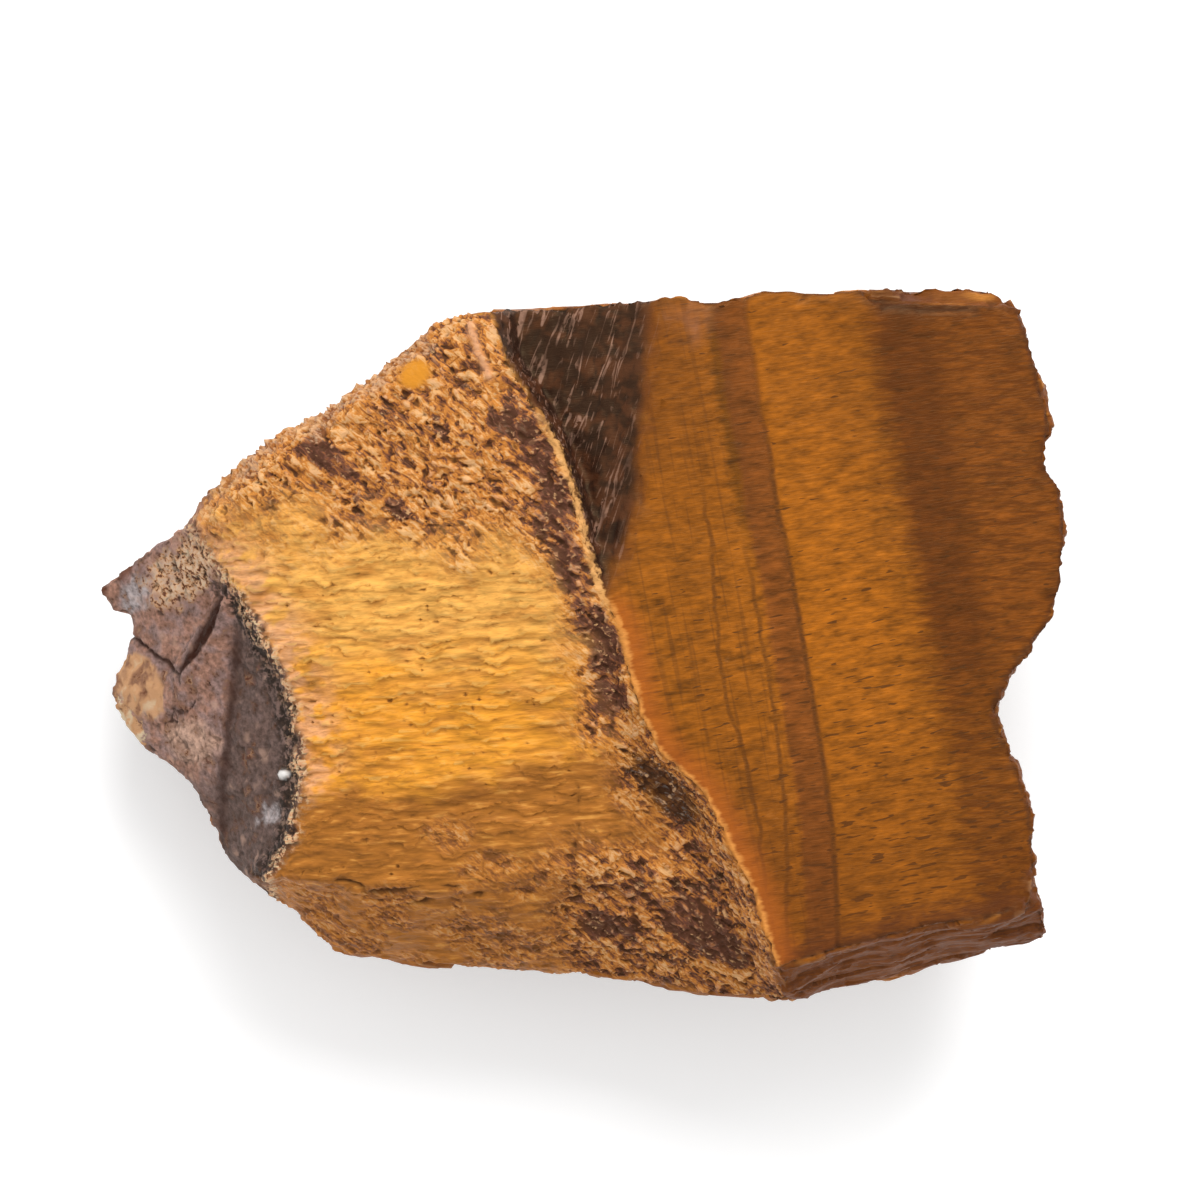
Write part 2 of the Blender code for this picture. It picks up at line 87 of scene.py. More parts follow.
FAINT_GROOVE = [
    (10.6, 23.0), (11.2, 17.4), (12.3, 11.3), (12.7, 7.2), (13.2, 0.3), (13.9, -5.0), (15.9, -11.2),
    (17.0, -17.0), (17.5, -21.9),
]
OLIVE_LEFT = [
    (12.1, 29.5), (12.7, 24.2), (13.9, 17.4), (15.3, 10.5), (16.5, 5.8), (17.3, 0.3), (18.3, -5.0),
    (19.0, -10.7), (19.6, -17.2),
]
LEDGE_LINE = [(28.6, 31.7), (33.0, 31.4), (37.4, 31.5)]
BACK_LEFT_EDGE = [(-33.5, 16.0), (-29.9, 18.8), (-25.2, 21.2), (-19.3, 25.3), (-15.7, 28.4)]
PINK_ROD = [(-10.0, 30.1), (-9.3, 27.6), (-8.2, 25.1)]
LOW_CRACKS = [
    [(-22.9, -22.2), (-19.8, -23.2), (-16.8, -23.1), (-11.1, -22.6)],
    [(-19.0, -24.6), (-14.0, -24.2), (-9.0, -23.6)],
]
CROSS_CRACK = [(-0.2, -11.6), (0.1, -17.0), (-0.2, -24.0)]

# Oval spots in plan: centre, radii, direction, share, and how soft the rim is.
PURPLE_SPOTS = [
    ((-23.5, 17.5), (5.0, 2.0), -28.0), ((-16.6, 12.6), (2.2, 1.4), -30.0),
    ((-4.8, 27.5), (2.6, 5.0), 20.0), ((-12.7, 20.5), (1.2, 2.0), 20.0, 0.7),
]
RAGGED_PURPLE_SPOTS = [
    ((12.0, -27.3), (8.0, 3.4), -38.0), ((-7.6, -19.5), (1.6, 2.6), -60.0, 0.45),
    ((3.0, -27.0), (4.5, 2.0), -20.0, 0.8),
]
HOLLOW_SPOT = ((8.3, -13.8), (8.6, 2.6), -45.0, 1.0, 0.8)
CLEAN_SPOT = ((-15.2, 25.4), (1.9, 1.5), 30.0, 1.0, 0.35)
CRYSTAL_SPOT = ((-27.6, -12.2), (0.7, 0.5), 40.0, 1.0, 0.4)
PINK_CORNER = ((10.4, 30.4), (3.0, 2.6))
LOW_TORN_SPOTS = [((-8.0, -21.0), (5.0, 2.5), 0.0, 0.6), ((-12.0, -17.5), (3.5, 2.0), 0.0, 0.6)]
CRUST_SPOTS = {
    "tan": [((-42.3, -3.9), (4.8, 3.4), -60.0)],
    "pale_rim": [((-43.6, -7.4), (4.6, 1.7), -52.0, 1.0, 0.8)],
    "pink_slab": [((-36.9, -9.3), (3.8, 2.7), -30.0, 1.0, 0.5)],
    "speckle": [((-37.2, 7.4), (6.6, 3.8), 38.0)],
    "lilac": [((-42.6, 4.8), (3.2, 2.6), 40.0, 1.0, 0.8), ((-29.4, -16.2), (2.6, 1.1), 50.0, 0.8)],
    "tip_rim": [((-43.8, 7.3), (3.6, 0.6), 40.0), ((-45.9, 5.2), (0.9, 0.8))],
}

# The smooth right face is one plane, which falls gently to the right.
RIGHT_FACE_HEIGHT = 33.9
RIGHT_FACE_FALL = 0.062

# Colour bands cross the fibres: this is the unit step across them.
ACROSS_BANDS = (0.983, 0.185, 0.05)

# Soft colour patterns: direction in plan, length and width of a patch, layers of detail, seed.
PATTERNS = {
    "gold_patch": (4.0, 5.5, 2.2, 3, 81),
    "torn_patch": (-30.0, 3.6, 1.9, 3, 82),
    "rusty_patch": (48.0, 2.2, 1.2, 3, 83),
    "side_patch": (0.0, 4.5, 0.7, 2, 84),
}
PATTERN_GAIN = 0.62             # how much of each layer of detail is left in the next
PATTERN_SPREAD = 0.08

# Directions of the fibre in plan, in degrees from X.
GOLD_FIBRE = 2.0
SMOOTH_FIBRE = 9.0
WEDGE_STEPS = 70.0
WEDGE_SCRATCHES = 72.0
TORN_FIBRE = -40.0
SPLINTER_WAYS = ((22, TORN_FIBRE), (23, -68.0), (24, 6.0))   # seed and direction

# The masks the material reads. Each three of them share one vector on the surface.
MASKS = (
    "smooth", "wedge", "crust", "left", "coarse", "height", "past_ridge", "past_groove", "past_olive",
    "past_faint", "past_front", "edge", "ledge", "pink_corner", "past_fade", "gold_patch", "past_seam",
    "brown_step", "torn_patch", "tone", "purple", "pale_edge", "hollow", "clean_spot", "pink_rod",
    "low_crack", "front_strip", "right_strip", "side_patch", "seam", "rusty_patch", "grains", "speckle",
    "dark_strip", "pink_slab", "lilac", "tan", "pale_rim", "tip_rim", "crease", "crack", "crystal",
)
MASK_VECTOR = "masks_{}"

# ---- Shine of the stone, floor and light. Sockets are named as the shader names them.
FLOOR_SIZE = 4.0                # m
FLOOR_LOOK = {                  # its glow keeps it white in the picture
    "Base Color": (0.94, 0.94, 0.94, 1.0), "Emission Color": (1.0, 1.0, 1.0, 1.0),
    "Emission Strength": 0.18, "Roughness": 0.9, "Specular IOR Level": 0.1,
}
ROOM_LIGHT = {"Color": (1.0, 1.0, 1.0, 1.0), "Strength": 0.80}
LAMPS = {                       # place and size in metres, power in watts
    "key": ((0.15, 0.50, 0.55), 0.45, 4.6),
    "fill": ((-0.50, -0.25, 0.45), 0.5, 0.6),
}
BOUNCES = {"max_bounces": 2, "diffuse_bounces": 1, "glossy_bounces": 1}
FINE_BUMP = {"Strength": 0.6, "Distance": 0.10 * METRES_PER_MM}
STONE_SHINE = {"Specular IOR Level": 0.24, "Specular Tint": (1.0, 0.75, 0.4, 1.0)}

# ---- Camera and picture.
PICTURE_WIDTH = 112.8           # mm across the picture, at the height below
PICTURE_PLANE = 30.0
PICTURE_CENTRE = (2.15, 4.3)
LENS = 180.0
SENSOR = 36.0


# ---- Noise over arrays of points.
def number_of(cell, order):
    """The shuffled number of each cell, the same cell always giving the same number."""
    number = order[cell[:, 0] % NOISE_SIZE]
    number = order[number + cell[:, 1] % NOISE_SIZE]
    return order[number + cell[:, 2] % NOISE_SIZE]


class Noise:
    """Smooth three-dimensional noise, about -1 to 1, the same on every run."""

    def __init__(self, seed):
        dice = np.random.default_rng(seed)
        self.order = np.tile(dice.permutation(NOISE_SIZE), 2)
        slopes = dice.normal(size=(NOISE_SIZE, 3))
        self.slopes = slopes / np.linalg.norm(slopes, axis=1)[:, None]

    def __call__(self, places):
        cell = np.floor(places).astype(int)
        inside = places - cell
        fade = inside ** 3 * (inside * (inside * 6 - 15) + 10)
        total = np.zeros(len(places))
        for corner in np.ndindex(2, 2, 2):
            slope = self.slopes[number_of(cell + corner, self.order)]
            rise = ((inside - corner) * slope).sum(axis=1)
            share = np.where(corner, fade, 1 - fade).prod(axis=1)
            total += rise * share
        return total * 1.5

    def octaves(self, places, count, gain=0.5):
        """Several layers, each twice as fine and weaker by gain."""
        total = np.zeros(len(places))
        weight = 1.0
        for layer in range(count):
            total += weight * self(places * 2.0 ** layer + 17.3 * layer)
            weight *= gain
        return total


class CellNoise:
    """Cells around scattered seeds: each cell has its own number, 0 to 1."""

    def __init__(self, seed):
        dice = np.random.default_rng(seed)
        self.order = np.tile(dice.permutation(NOISE_SIZE), 2)
        self.offsets = dice.random((NOISE_SIZE, 3))
        self.numbers = dice.random(NOISE_SIZE)

    def __call__(self, places):
        """The cell's number, and how far inside the cell each place is."""
        home = np.floor(places).astype(int)
        nearest = np.full(len(places), np.inf)
        second = nearest.copy()
        number = np.zeros(len(places))
        for step in np.ndindex(3, 3, 3):
            cell = home + np.array(step) - 1
            name = number_of(cell, self.order)
            away = np.linalg.norm(places - cell - self.offsets[name], axis=1)
            closer = away < nearest
            second = np.where(closer, nearest, np.minimum(second, away))
            number = np.where(closer, self.numbers[name], number)
            nearest = np.where(closer, away, nearest)
        return number, second - nearest


def smooth_step(low, high, values):
    """0 below low, 1 above high, and a smooth rise between."""
    share = np.clip((values - low) / (high - low), 0.0, 1.0)
    return share * share * (3 - 2 * share)


def bump_at(values, middle, width):
    """1 where the value is in the middle, falling off smoothly over the width."""
    return np.exp(-((values - middle) / width) ** 2)


def distance_to_line(places, line):
    """How far each place is in plan from a line of plan points."""
    spots = places[:, :2]
    best = np.full(len(spots), np.inf)
    for start, end in zip(np.array(line[:-1]), np.array(line[1:])):
        along = end - start
        share = np.clip((spots - start) @ along / (along @ along), 0.0, 1.0)
        best = np.minimum(best, np.linalg.norm(spots - start - share[:, None] * along, axis=1))
    return best


def near_line(places, line, width):
    """1 on a line of plan points, falling off smoothly over the width."""
    return bump_at(distance_to_line(places, line), 0.0, width)


def past_line(places, line):
    """How far each place is to the right of a line that runs from back to front; minus on its left."""
    points = np.array(line)[::-1]
    side = places[:, 0] - np.interp(places[:, 1], points[:, 1], points[:, 0])
    return np.sign(side) * np.minimum(np.abs(side), distance_to_line(places, line))


def in_front_of(places, line):
    """How far each place is in front of a line that runs from left to right."""
    points = np.array(line)
    return np.interp(places[:, 0], points[:, 0], points[:, 1]) - places[:, 1]


def spot(places, centre, radii, degrees=0.0, share=1.0, softness=0.6):
    """The share inside an oval spot in plan, fading out to its rim."""
    along, across, _ = fibre_frame(places - (*centre, 0.0), degrees).T
    out = np.hypot(along / radii[0], across / radii[1])
    return share * (1 - smooth_step(1 - softness, 1.0, out))


def fibre_frame(places, degrees):
    """Places measured along a direction in plan, across it, and up."""
    angle = np.radians(degrees)
    along = places[:, 0] * np.cos(angle) + places[:, 1] * np.sin(angle)
    across = places[:, 1] * np.cos(angle) - places[:, 0] * np.sin(angle)
    return np.stack([along, across, places[:, 2]], axis=1)


def nudged(places, x_shift, y_shift):
    """The places moved in plan."""
    return places + np.stack([x_shift, y_shift, 0 * places[:, 2]], axis=1)


# ---- The fine surface.
def refined_copy(node):
    """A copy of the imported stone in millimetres, remeshed finely."""
    solid = bmesh.new()
    solid.from_mesh(node.data)
    bmesh.ops.remove_doubles(solid, verts=solid.verts, dist=1e-6)
    squeeze = (MM_PER_METRE / ALONG_FIBRE, MM_PER_METRE, MM_PER_METRE)
    bmesh.ops.scale(solid, vec=squeeze, verts=solid.verts)
    plain = bpy.data.meshes.new("stone_plain")
    solid.to_mesh(plain)
    solid.free()
    fine = with_modifier(plain, "REMESH", mode="VOXEL", voxel_size=VOXEL)
    solid = bmesh.new()
    solid.from_mesh(fine)
    bmesh.ops.scale(solid, vec=(ALONG_FIBRE, 1.0, 1.0), verts=solid.verts)
    remove_specks(solid)
    solid.to_mesh(fine)
    solid.free()
    return fine


def remove_specks(solid):
    """Keeps the stone and drops any loose speck that the remeshing leaves beside it."""
    unseen = set(solid.verts)
    biggest = set()
    while len(unseen) > len(biggest):
        newest = {unseen.pop()}
        part = set()
        while newest:
            part |= newest
            newest = {edge.other_vert(vertex) for vertex in newest for edge in vertex.link_edges} - part
        unseen -= part
        biggest = max(biggest, part, key=len)
    specks = [vertex for vertex in solid.verts if vertex not in biggest]
    bmesh.ops.delete(solid, geom=specks, context="VERTS")


def new_object(name, data):
    """A new object in the scene."""
    thing = bpy.data.objects.new(name, data)
    bpy.context.scene.collection.objects.link(thing)
    return thing


def with_modifier(mesh, kind, **settings):
    """The mesh after one modifier."""
    carrier = new_object("carrier", mesh)
    modifier = carrier.modifiers.new("step", kind)
    for name, value in settings.items():
        setattr(modifier, name, value)
    shown = carrier.evaluated_get(bpy.context.evaluated_depsgraph_get())
    result = bpy.data.meshes.new_from_object(shown)
    bpy.data.objects.remove(carrier, do_unlink=True)
    bpy.data.meshes.remove(mesh)
    return result


def with_plain_underside(mesh):
    """The mesh with its flat underside as a few big faces, all in triangles."""
    solid = bmesh.new()
    solid.from_mesh(mesh)
    for vertex in solid.verts:
        if vertex.co.z < UNDERSIDE_TOP:
            vertex.co.z = 0.0
    flat = [face for face in solid.faces if all(vertex.co.z == 0.0 for vertex in face.verts)]
    bmesh.ops.dissolve_faces(solid, faces=flat, use_verts=True)
    bmesh.ops.triangulate(solid, faces=solid.faces)
    solid.to_mesh(mesh)
    solid.free()
    return mesh


def read_surface(mesh):
    """The mesh's points, directions and edges as arrays."""
    count = len(mesh.vertices)
    places = np.empty(count * 3)
    mesh.vertices.foreach_get("co", places)
    normals = np.empty(count * 3)
    mesh.vertices.foreach_get("normal", normals)
    edges = np.empty(len(mesh.edges) * 2, dtype=int)
    mesh.edges.foreach_get("vertices", edges)
    return places.reshape(-1, 3), normals.reshape(-1, 3), edges.reshape(-1, 2)


def blurred(values, edges, rounds):
    """Values averaged with their neighbours along the edges, several times over."""
    count = len(values)
    starts, ends = edges[:, 0], edges[:, 1]
    links = np.bincount(starts, minlength=count) + np.bincount(ends, minlength=count)
    for _ in range(rounds):
        total = np.bincount(starts, values[ends], count) + np.bincount(ends, values[starts], count)
        values = 0.5 * values + 0.5 * total / links
    return values


def blurred_places(places, edges, rounds):
    """Points averaged with their neighbours."""
    return np.stack([blurred(values, edges, rounds) for values in places.T], axis=1)


# ---- Zones of the stone, each 0 to 1 at every point.
def find_zones(places, normals):
    """Which kind of surface each point belongs to, and how far it is past each line."""
    x, y, z = places.T
    up = normals[:, 2]
    waver = Noise(3).octaves(places / 2.2, 3)
    lines = {
        "past_ridge": RIDGE, "past_fade": WEDGE_FADE, "past_seam": CRUST_EDGE, "past_crease": CRUST_CREASE,
        "past_groove": GROOVE, "past_faint": FAINT_GROOVE, "past_olive": OLIVE_LEFT,
    }
    zones = {name: past_line(places, line) for name, line in lines.items()}
    plane = RIGHT_FACE_HEIGHT - RIGHT_FACE_FALL * x
    low = smooth_step(30.5, 24.5, z)
    facing_up = smooth_step(0.02, 0.2, up) * smooth_step(9.0, 12.0, z + 4.0 * waver)

    right_side = smooth_step(-0.25, 0.25, zones["past_ridge"] + 4.0 * waver * low)
    fading = smooth_step(-1.6, 0.9, zones["past_fade"] + 0.9 * waver)
    fading = np.maximum(fading, smooth_step(5.0, 3.0, y))
    flat = smooth_step(1.2, 0.5, plane - z) * smooth_step(0.75, 0.92, up)
    zones["smooth"] = right_side * fading * flat
    zones["ledge"] = near_line(nudged(places, 0 * x, 0.35 * waver), LEDGE_LINE, 0.32)
    zones["pink_corner"] = spot(places, *PINK_CORNER) * np.clip(0.5 + waver, 0.0, 1.0)
    zones["wedge"] = right_side * (1 - fading) * facing_up * smooth_step(3.5, 6.0, y)

    crust_top = smooth_step(0.4, -0.4, zones["past_seam"] + 0.5 * waver)
    crust_side = smooth_step(-1.5, 1.5, CRUST_END + 5.0 * waver - x)
    on_top = smooth_step(0.05, 0.25, up) * smooth_step(11.0, 13.0, z)
    zones["crust"] = np.maximum(crust_top * on_top, crust_side)
    thin = 0.35 + 0.45 * smooth_step(-0.3, 0.4, Noise(4)(places / 2.0))
    zones["seam"] = bump_at((zones["past_seam"] + 0.5 * waver + 0.2) / thin, 0.0, 1.0) * on_top

    left_face = facing_up * (1 - right_side) * (1 - zones["crust"])
    in_front = smooth_step(-1.2, 1.2, in_front_of(places, FRONT_STRIP_TOP) + 1.2 * waver)
    zones["left"] = left_face
    zones["front_strip"] = left_face * in_front
    zones["brown_step"] = smooth_step(-1.0, 1.6, in_front_of(places, BROWN_STEP) + 1.5 * waver)
    zones["past_front"] = in_front_of(places, RIGHT_STRIP_TOP)
    right_front = smooth_step(-0.2, 0.4, zones["past_front"]) * right_side
    zones["right_strip"] = right_front * smooth_step(20.0, 23.0, z)
    covered = zones["smooth"] + zones["wedge"] + zones["crust"] + left_face
    zones["side"] = 1 - np.clip(covered, 0.0, 1.0)
    zones["across"] = smooth_step(0.5, 0.85, np.abs(normals[:, 0]))
    return zones


def add_left_face_spots(places, zones):
    """How coarse, how purple and how hollow the left face is, place by place."""
    x, y, _ = places.T
    waver = Noise(5).octaves(places / 5.0, 3)
    back = smooth_step(6.0, 15.0, y + 3.5 * waver + 0.10 * (x + 20.0))
    margin = smooth_step(-7.5, -2.5, zones["past_ridge"] + 2.5 * waver)
    ragged = nudged(places, 1.1 * waver, -1.1 * waver)
    hollow = spot(ragged, *HOLLOW_SPOT)
    low_right = smooth_step(-8.0, 2.0, x + 3.0 * waver) * smooth_step(-16.0, -21.0, y + 1.5 * waver)
    low_left = sum(spot(ragged, *oval) for oval in LOW_TORN_SPOTS)
    strip = 0.7 * zones["front_strip"] * smooth_step(-0.3, 0.2, waver)
    coarse = np.maximum.reduce([back, margin, hollow, low_right, strip, np.clip(low_left, 0.0, 1.0)])
    found = {"coarse": np.clip(coarse, 0.0, 1.0), "hollow": hollow}

    purple = sum(spot(places, *oval) for oval in PURPLE_SPOTS)
    purple += sum(spot(ragged, *oval) for oval in RAGGED_PURPLE_SPOTS)
    under_crest = bump_at(zones["past_ridge"] + 0.8 * waver, -2.0, 1.9) * smooth_step(26.0, 18.0, y)
    purple += 1.2 * under_crest * smooth_step(-9.0, -4.0, y)
    purple *= 0.6 + 0.9 * np.abs(Noise(9)(places / 1.5))
    found["purple"] = np.clip(purple, 0.0, 1.0)
    found["pale_edge"] = smooth_step(2.6, 0.6, distance_to_line(ragged, BACK_LEFT_EDGE))
    found["clean_spot"] = spot(places, *CLEAN_SPOT)
    found["pink_rod"] = near_line(places, PINK_ROD, 0.33)
    wobble = 0.5 * waver + 0.25 * Noise(6)(places / 0.9)
    cracks = [near_line(nudged(places, 0 * x, wobble), line, 0.2) for line in LOW_CRACKS]
    cracks.append(0.55 * near_line(nudged(places, wobble, 0 * x), CROSS_CRACK, 0.16))
    shown = smooth_step(-0.35, 0.15, Noise(8)(places / 1.8))
    found["low_crack"] = np.maximum.reduce(cracks) * shown
    zones.update({name: share * zones["left"] for name, share in found.items()})


def add_crust_spots(places, zones):
    """Stains, speckles and cracks of the crust."""
    y, z = places[:, 1], places[:, 2]
    waver = Noise(7).octaves(places / 1.6, 3)
    crust = zones["crust"] * smooth_step(8.0, 13.0, z + 1.5 * waver)
    ragged = nudged(places, 0.8 * waver, -0.8 * waver)
    for name, ovals in CRUST_SPOTS.items():
        zones[name] = sum(spot(ragged, *oval) for oval in ovals) * crust
    zones["dark_strip"] = smooth_step(-0.5, 0.4, zones["past_crease"] + 0.3 * waver) * crust
    zones["crease"] = bump_at(zones["past_crease"] + 0.3 * waver, 0.2, 0.5) * smooth_step(3.0, 0.0, y) * crust
    zones["grains"] = bump_at(zones["past_seam"] + 0.7 * waver, -1.2, 0.8) * crust * smooth_step(8.0, 4.0, y)
    middle = near_line(places, CRACK_MIDDLE, 2.6)
    crack = smooth_step(0.16, -0.06, distance_to_line(places, CRUST_CRACK) - 0.12 - 0.42 * middle)
    fine = [near_line(ragged, line, 0.2) for line in CRUST_FINE_CRACKS]
    zones["crack"] = np.maximum.reduce([crack, 0.9 * fine[0], 0.7 * fine[1]]) * crust
    zones["crystal"] = spot(places + 0.15 * (ragged - places), *CRYSTAL_SPOT)


def add_patterns(places, zones):
    """Soft patterns for the colours, each around 0.5 and mostly within 0.3 to 0.7."""
    for name, (degrees, length, width, layers, seed) in PATTERNS.items():
        lines = fibre_frame(places, degrees) / (length, width, width)
        pattern = Noise(seed).octaves(lines, layers, PATTERN_GAIN)
        zones[name] = 0.5 + PATTERN_SPREAD * pattern / pattern.std()


# ---- Relief: how far each point moves out along its normal, mm.
def shingles(lines, spacing, length, seed):
    """Overlapping steps of fibre: each rises slowly from the back and drops at its front, 0 to 1."""
    bend = 1.1 * Noise(seed)(lines / (2.0 * length, 4.0, 4.0))
    bend += 0.75 * Noise(seed + 1)(lines / (0.7 * length, 1.6, 1.6))
    phase = lines[:, 1] / spacing + bend
    height = 1 - (phase - np.floor(phase))
    shown = smooth_step(-0.45, 0.35, Noise(seed + 2)(lines / (length, 1.1, 1.1)))
    return height * shown


def golden_fibre_relief(places, zones):
    """Wavy ridges of fibre running along X, in shallow torn steps."""
    lines = fibre_frame(places, GOLD_FIBRE)
    broad = Noise(11).octaves(lines / (8.0, 3.0, 3.0), 2)
    coarse_steps = shingles(lines, 1.05, 3.2, 101)
    fine_steps = shingles(lines, 0.47, 1.8, 111)
    pits = smooth_step(0.42, 0.62, Noise(13)(lines / (0.75, 0.42, 0.42)))
    pits *= smooth_step(-0.1, 0.35, Noise(14)(places / 3.0))
    return 0.24 * broad + 0.30 * coarse_steps + 0.09 * fine_steps - 0.25 * pits


def ridged(noise, places):
    """Sharp crests with round valleys between them, 0 to 1."""
    return (1 - np.abs(noise.octaves(places, 2, 0.4))).clip(0.0, 1.0) ** 2


def add_splinters(places, zones):
    """Torn fibre: bent splinters in three directions, each with its own tone and its own height."""
    chosen = zones["coarse"] > 0.002
    spots = places[chosen]
    pick = Noise(21)(spots / 3.6)
    bend = 0.6 * np.stack([Noise(seed)(spots / 1.5) for seed in (26, 27, 28)], axis=1)
    shares = (smooth_step(0.0, -0.1, pick), bump_at(pick, 0.07, 0.09), smooth_step(0.14, 0.24, pick))
    strongest = np.argmax(shares, axis=0)
    relief = np.zeros(len(spots))
    tone = np.zeros(len(spots))
    for way, (seed, degrees) in enumerate(SPLINTER_WAYS):
        lines = fibre_frame(spots + bend, degrees)
        crests = ridged(Noise(seed), lines / (2.6, 0.7, 0.7))
        number, depth = CellNoise(seed)(lines / (1.9, 0.46, 0.46))
        height = 0.50 * crests + 0.36 * number + 0.22 * np.minimum(depth, 0.4)
        relief += shares[way] / (sum(shares) + 1e-6) * height
        tone = np.where(strongest == way, number, tone)
    for name, values in (("splinter", relief), ("tone", tone)):
        zones[name] = np.zeros(len(places))
        zones[name][chosen] = values


def splintered_relief(places, zones):
    """The splinters, on broken lumps."""
    return zones["splinter"] - 0.56 + 0.36 * Noise(25).octaves(places / 3.4, 3)


def wedge_relief(places, zones):
    """Coarse scratchy fibres that lean steeply to the right."""
    lines = fibre_frame(places, WEDGE_STEPS)
    steps = shingles(lines, 0.8, 2.6, 121)
    scratches = Noise(31).octaves(lines / (2.2, 0.6, 0.6), 2)
    return 0.20 * steps + 0.16 * scratches + 0.18 * Noise(32)(places / 2.6)


def smooth_face_relief(places, zones):
    """Almost flat: a shallow trough with a narrow groove on its right side, and faint ripples."""
    trough = -0.20 * bump_at(zones["past_groove"], -2.3, 1.9)
    groove = -0.15 * bump_at(zones["past_groove"], 0.0, 0.30)
    lines = -0.05 * bump_at(zones["past_faint"], 0.0, 0.26) - 0.04 * bump_at(zones["past_olive"], 0.0, 0.26)
    swell = 0.12 * Noise(41)(places / (14.0, 9.0, 9.0))
    along = fibre_frame(places, SMOOTH_FIBRE)
    ripple = 0.025 * Noise(42)(along / (2.5, 0.7, 0.7))
    pits = smooth_step(0.45, 0.65, Noise(43)(along / (1.1, 0.4, 0.4)))
    return trough + groove + lines + swell + ripple - 0.05 * pits


def crust_relief(places, zones):
    """Dull flat slabs with a fine grain, cracked, and crumbling where it meets the gold."""
    grain = 0.035 * Noise(51).octaves(places / 0.8, 2)
    slabs = 0.14 * Noise(52)(places / 3.5)
    crumbs, depth = CellNoise(53)(places / 0.75)
    crumbling = np.clip(zones["grains"] + 0.5 * zones["speckle"] + 0.7 * zones["pale_rim"], 0.0, 1.0)
    crumble = crumbling * (0.42 * crumbs + 0.35 * np.minimum(depth, 0.4) - 0.3)
    flakes, _ = CellNoise(54)(places / (2.6, 2.2, 1.6))
    rough = np.clip(zones["tan"] + zones["speckle"] + zones["pink_slab"], 0.0, 1.0)
    lumps = 0.17 * Noise(55).octaves(places / 1.2, 3) * (0.45 + rough)
    return grain + slabs + 0.22 * flakes + lumps + crumble - 0.35 * zones["crack"]


def seam_relief(places, zones):
    """Crumbs where the crust meets the gold."""
    crumbs, depth = CellNoise(71)(places / 0.6)
    return 0.35 * crumbs + 0.3 * np.minimum(depth, 0.4) - 0.05


def side_relief(places, zones):
    """Broken walls: long torn ledges along the fibres, and stubby broken ends across them."""
    ledges, _ = CellNoise(61)(places / (13.0, 3.5, 2.4))
    slivers, _ = CellNoise(62)(places / (6.0, 1.2, 0.6))
    torn = Noise(63).octaves(places / (7.0, 1.6, 1.1), 3)
    along = 0.75 * ledges + 0.22 * slivers + 0.25 * torn - 0.45
    stubs, depth = CellNoise(64)(places / (1.6, 0.9, 0.7))
    lumps = Noise(65).octaves(places / 2.6, 3)
    ends = 0.45 * stubs + 0.25 * np.minimum(depth, 0.4) + 0.35 * lumps - 0.35
    broad = Noise(66).octaves(places / 7.0, 2)
    inward = 0.45 * smooth_step(-5.0, 15.0, places[:, 1])
    across = zones["across"]
    return (along - inward) * (1 - across) + ends * across + 0.4 * broad


def find_relief(places, zones, bulge):
    """All the zones' reliefs, mixed by their shares."""
    relief = np.zeros(len(places))
    shares = {
        golden_fibre_relief: zones["left"] - zones["coarse"],
        splintered_relief: zones["coarse"] * (1 - 0.8 * zones["clean_spot"]),
        wedge_relief: zones["wedge"],
        smooth_face_relief: zones["smooth"],
        crust_relief: zones["crust"],
        side_relief: zones["side"],
        seam_relief: zones["seam"],
    }
    for make_relief, share in shares.items():
        chosen = share > 0.002
        there = {name: values[chosen] for name, values in zones.items()}
        relief[chosen] += share[chosen] * make_relief(places[chosen], there)
    relief += 0.3 * zones["pink_rod"] - 0.35 * zones["low_crack"] - 0.3 * zones["hollow"]
    relief += 0.35 * zones["crystal"] - 0.25 * zones["ledge"]
    chips = np.clip(Noise(72).octaves(places / 1.7, 3) + 0.25, 0.0, 1.0)
    inside_left = zones["left"] * smooth_step(-1.5, -3.0, zones["past_ridge"])
    relief -= 0.6 * chips * np.clip(bulge, 0.0, 1.0) * (1 - 0.5 * zones["smooth"]) * (1 - 0.9 * inside_left)
    return relief * smooth_step(0.0, 1.5, places[:, 2])


def write_masks(mesh, zones):
    """Stores the masks on the points of the mesh, three to a vector."""
    for first in range(0, len(MASKS), 3):
        layer = mesh.attributes.new(MASK_VECTOR.format(first // 3), "FLOAT_VECTOR", "POINT")
        vectors = np.stack([zones[name] for name in MASKS[first:first + 3]], axis=1)
        layer.data.foreach_set("vector", vectors.astype(np.float32).ravel())


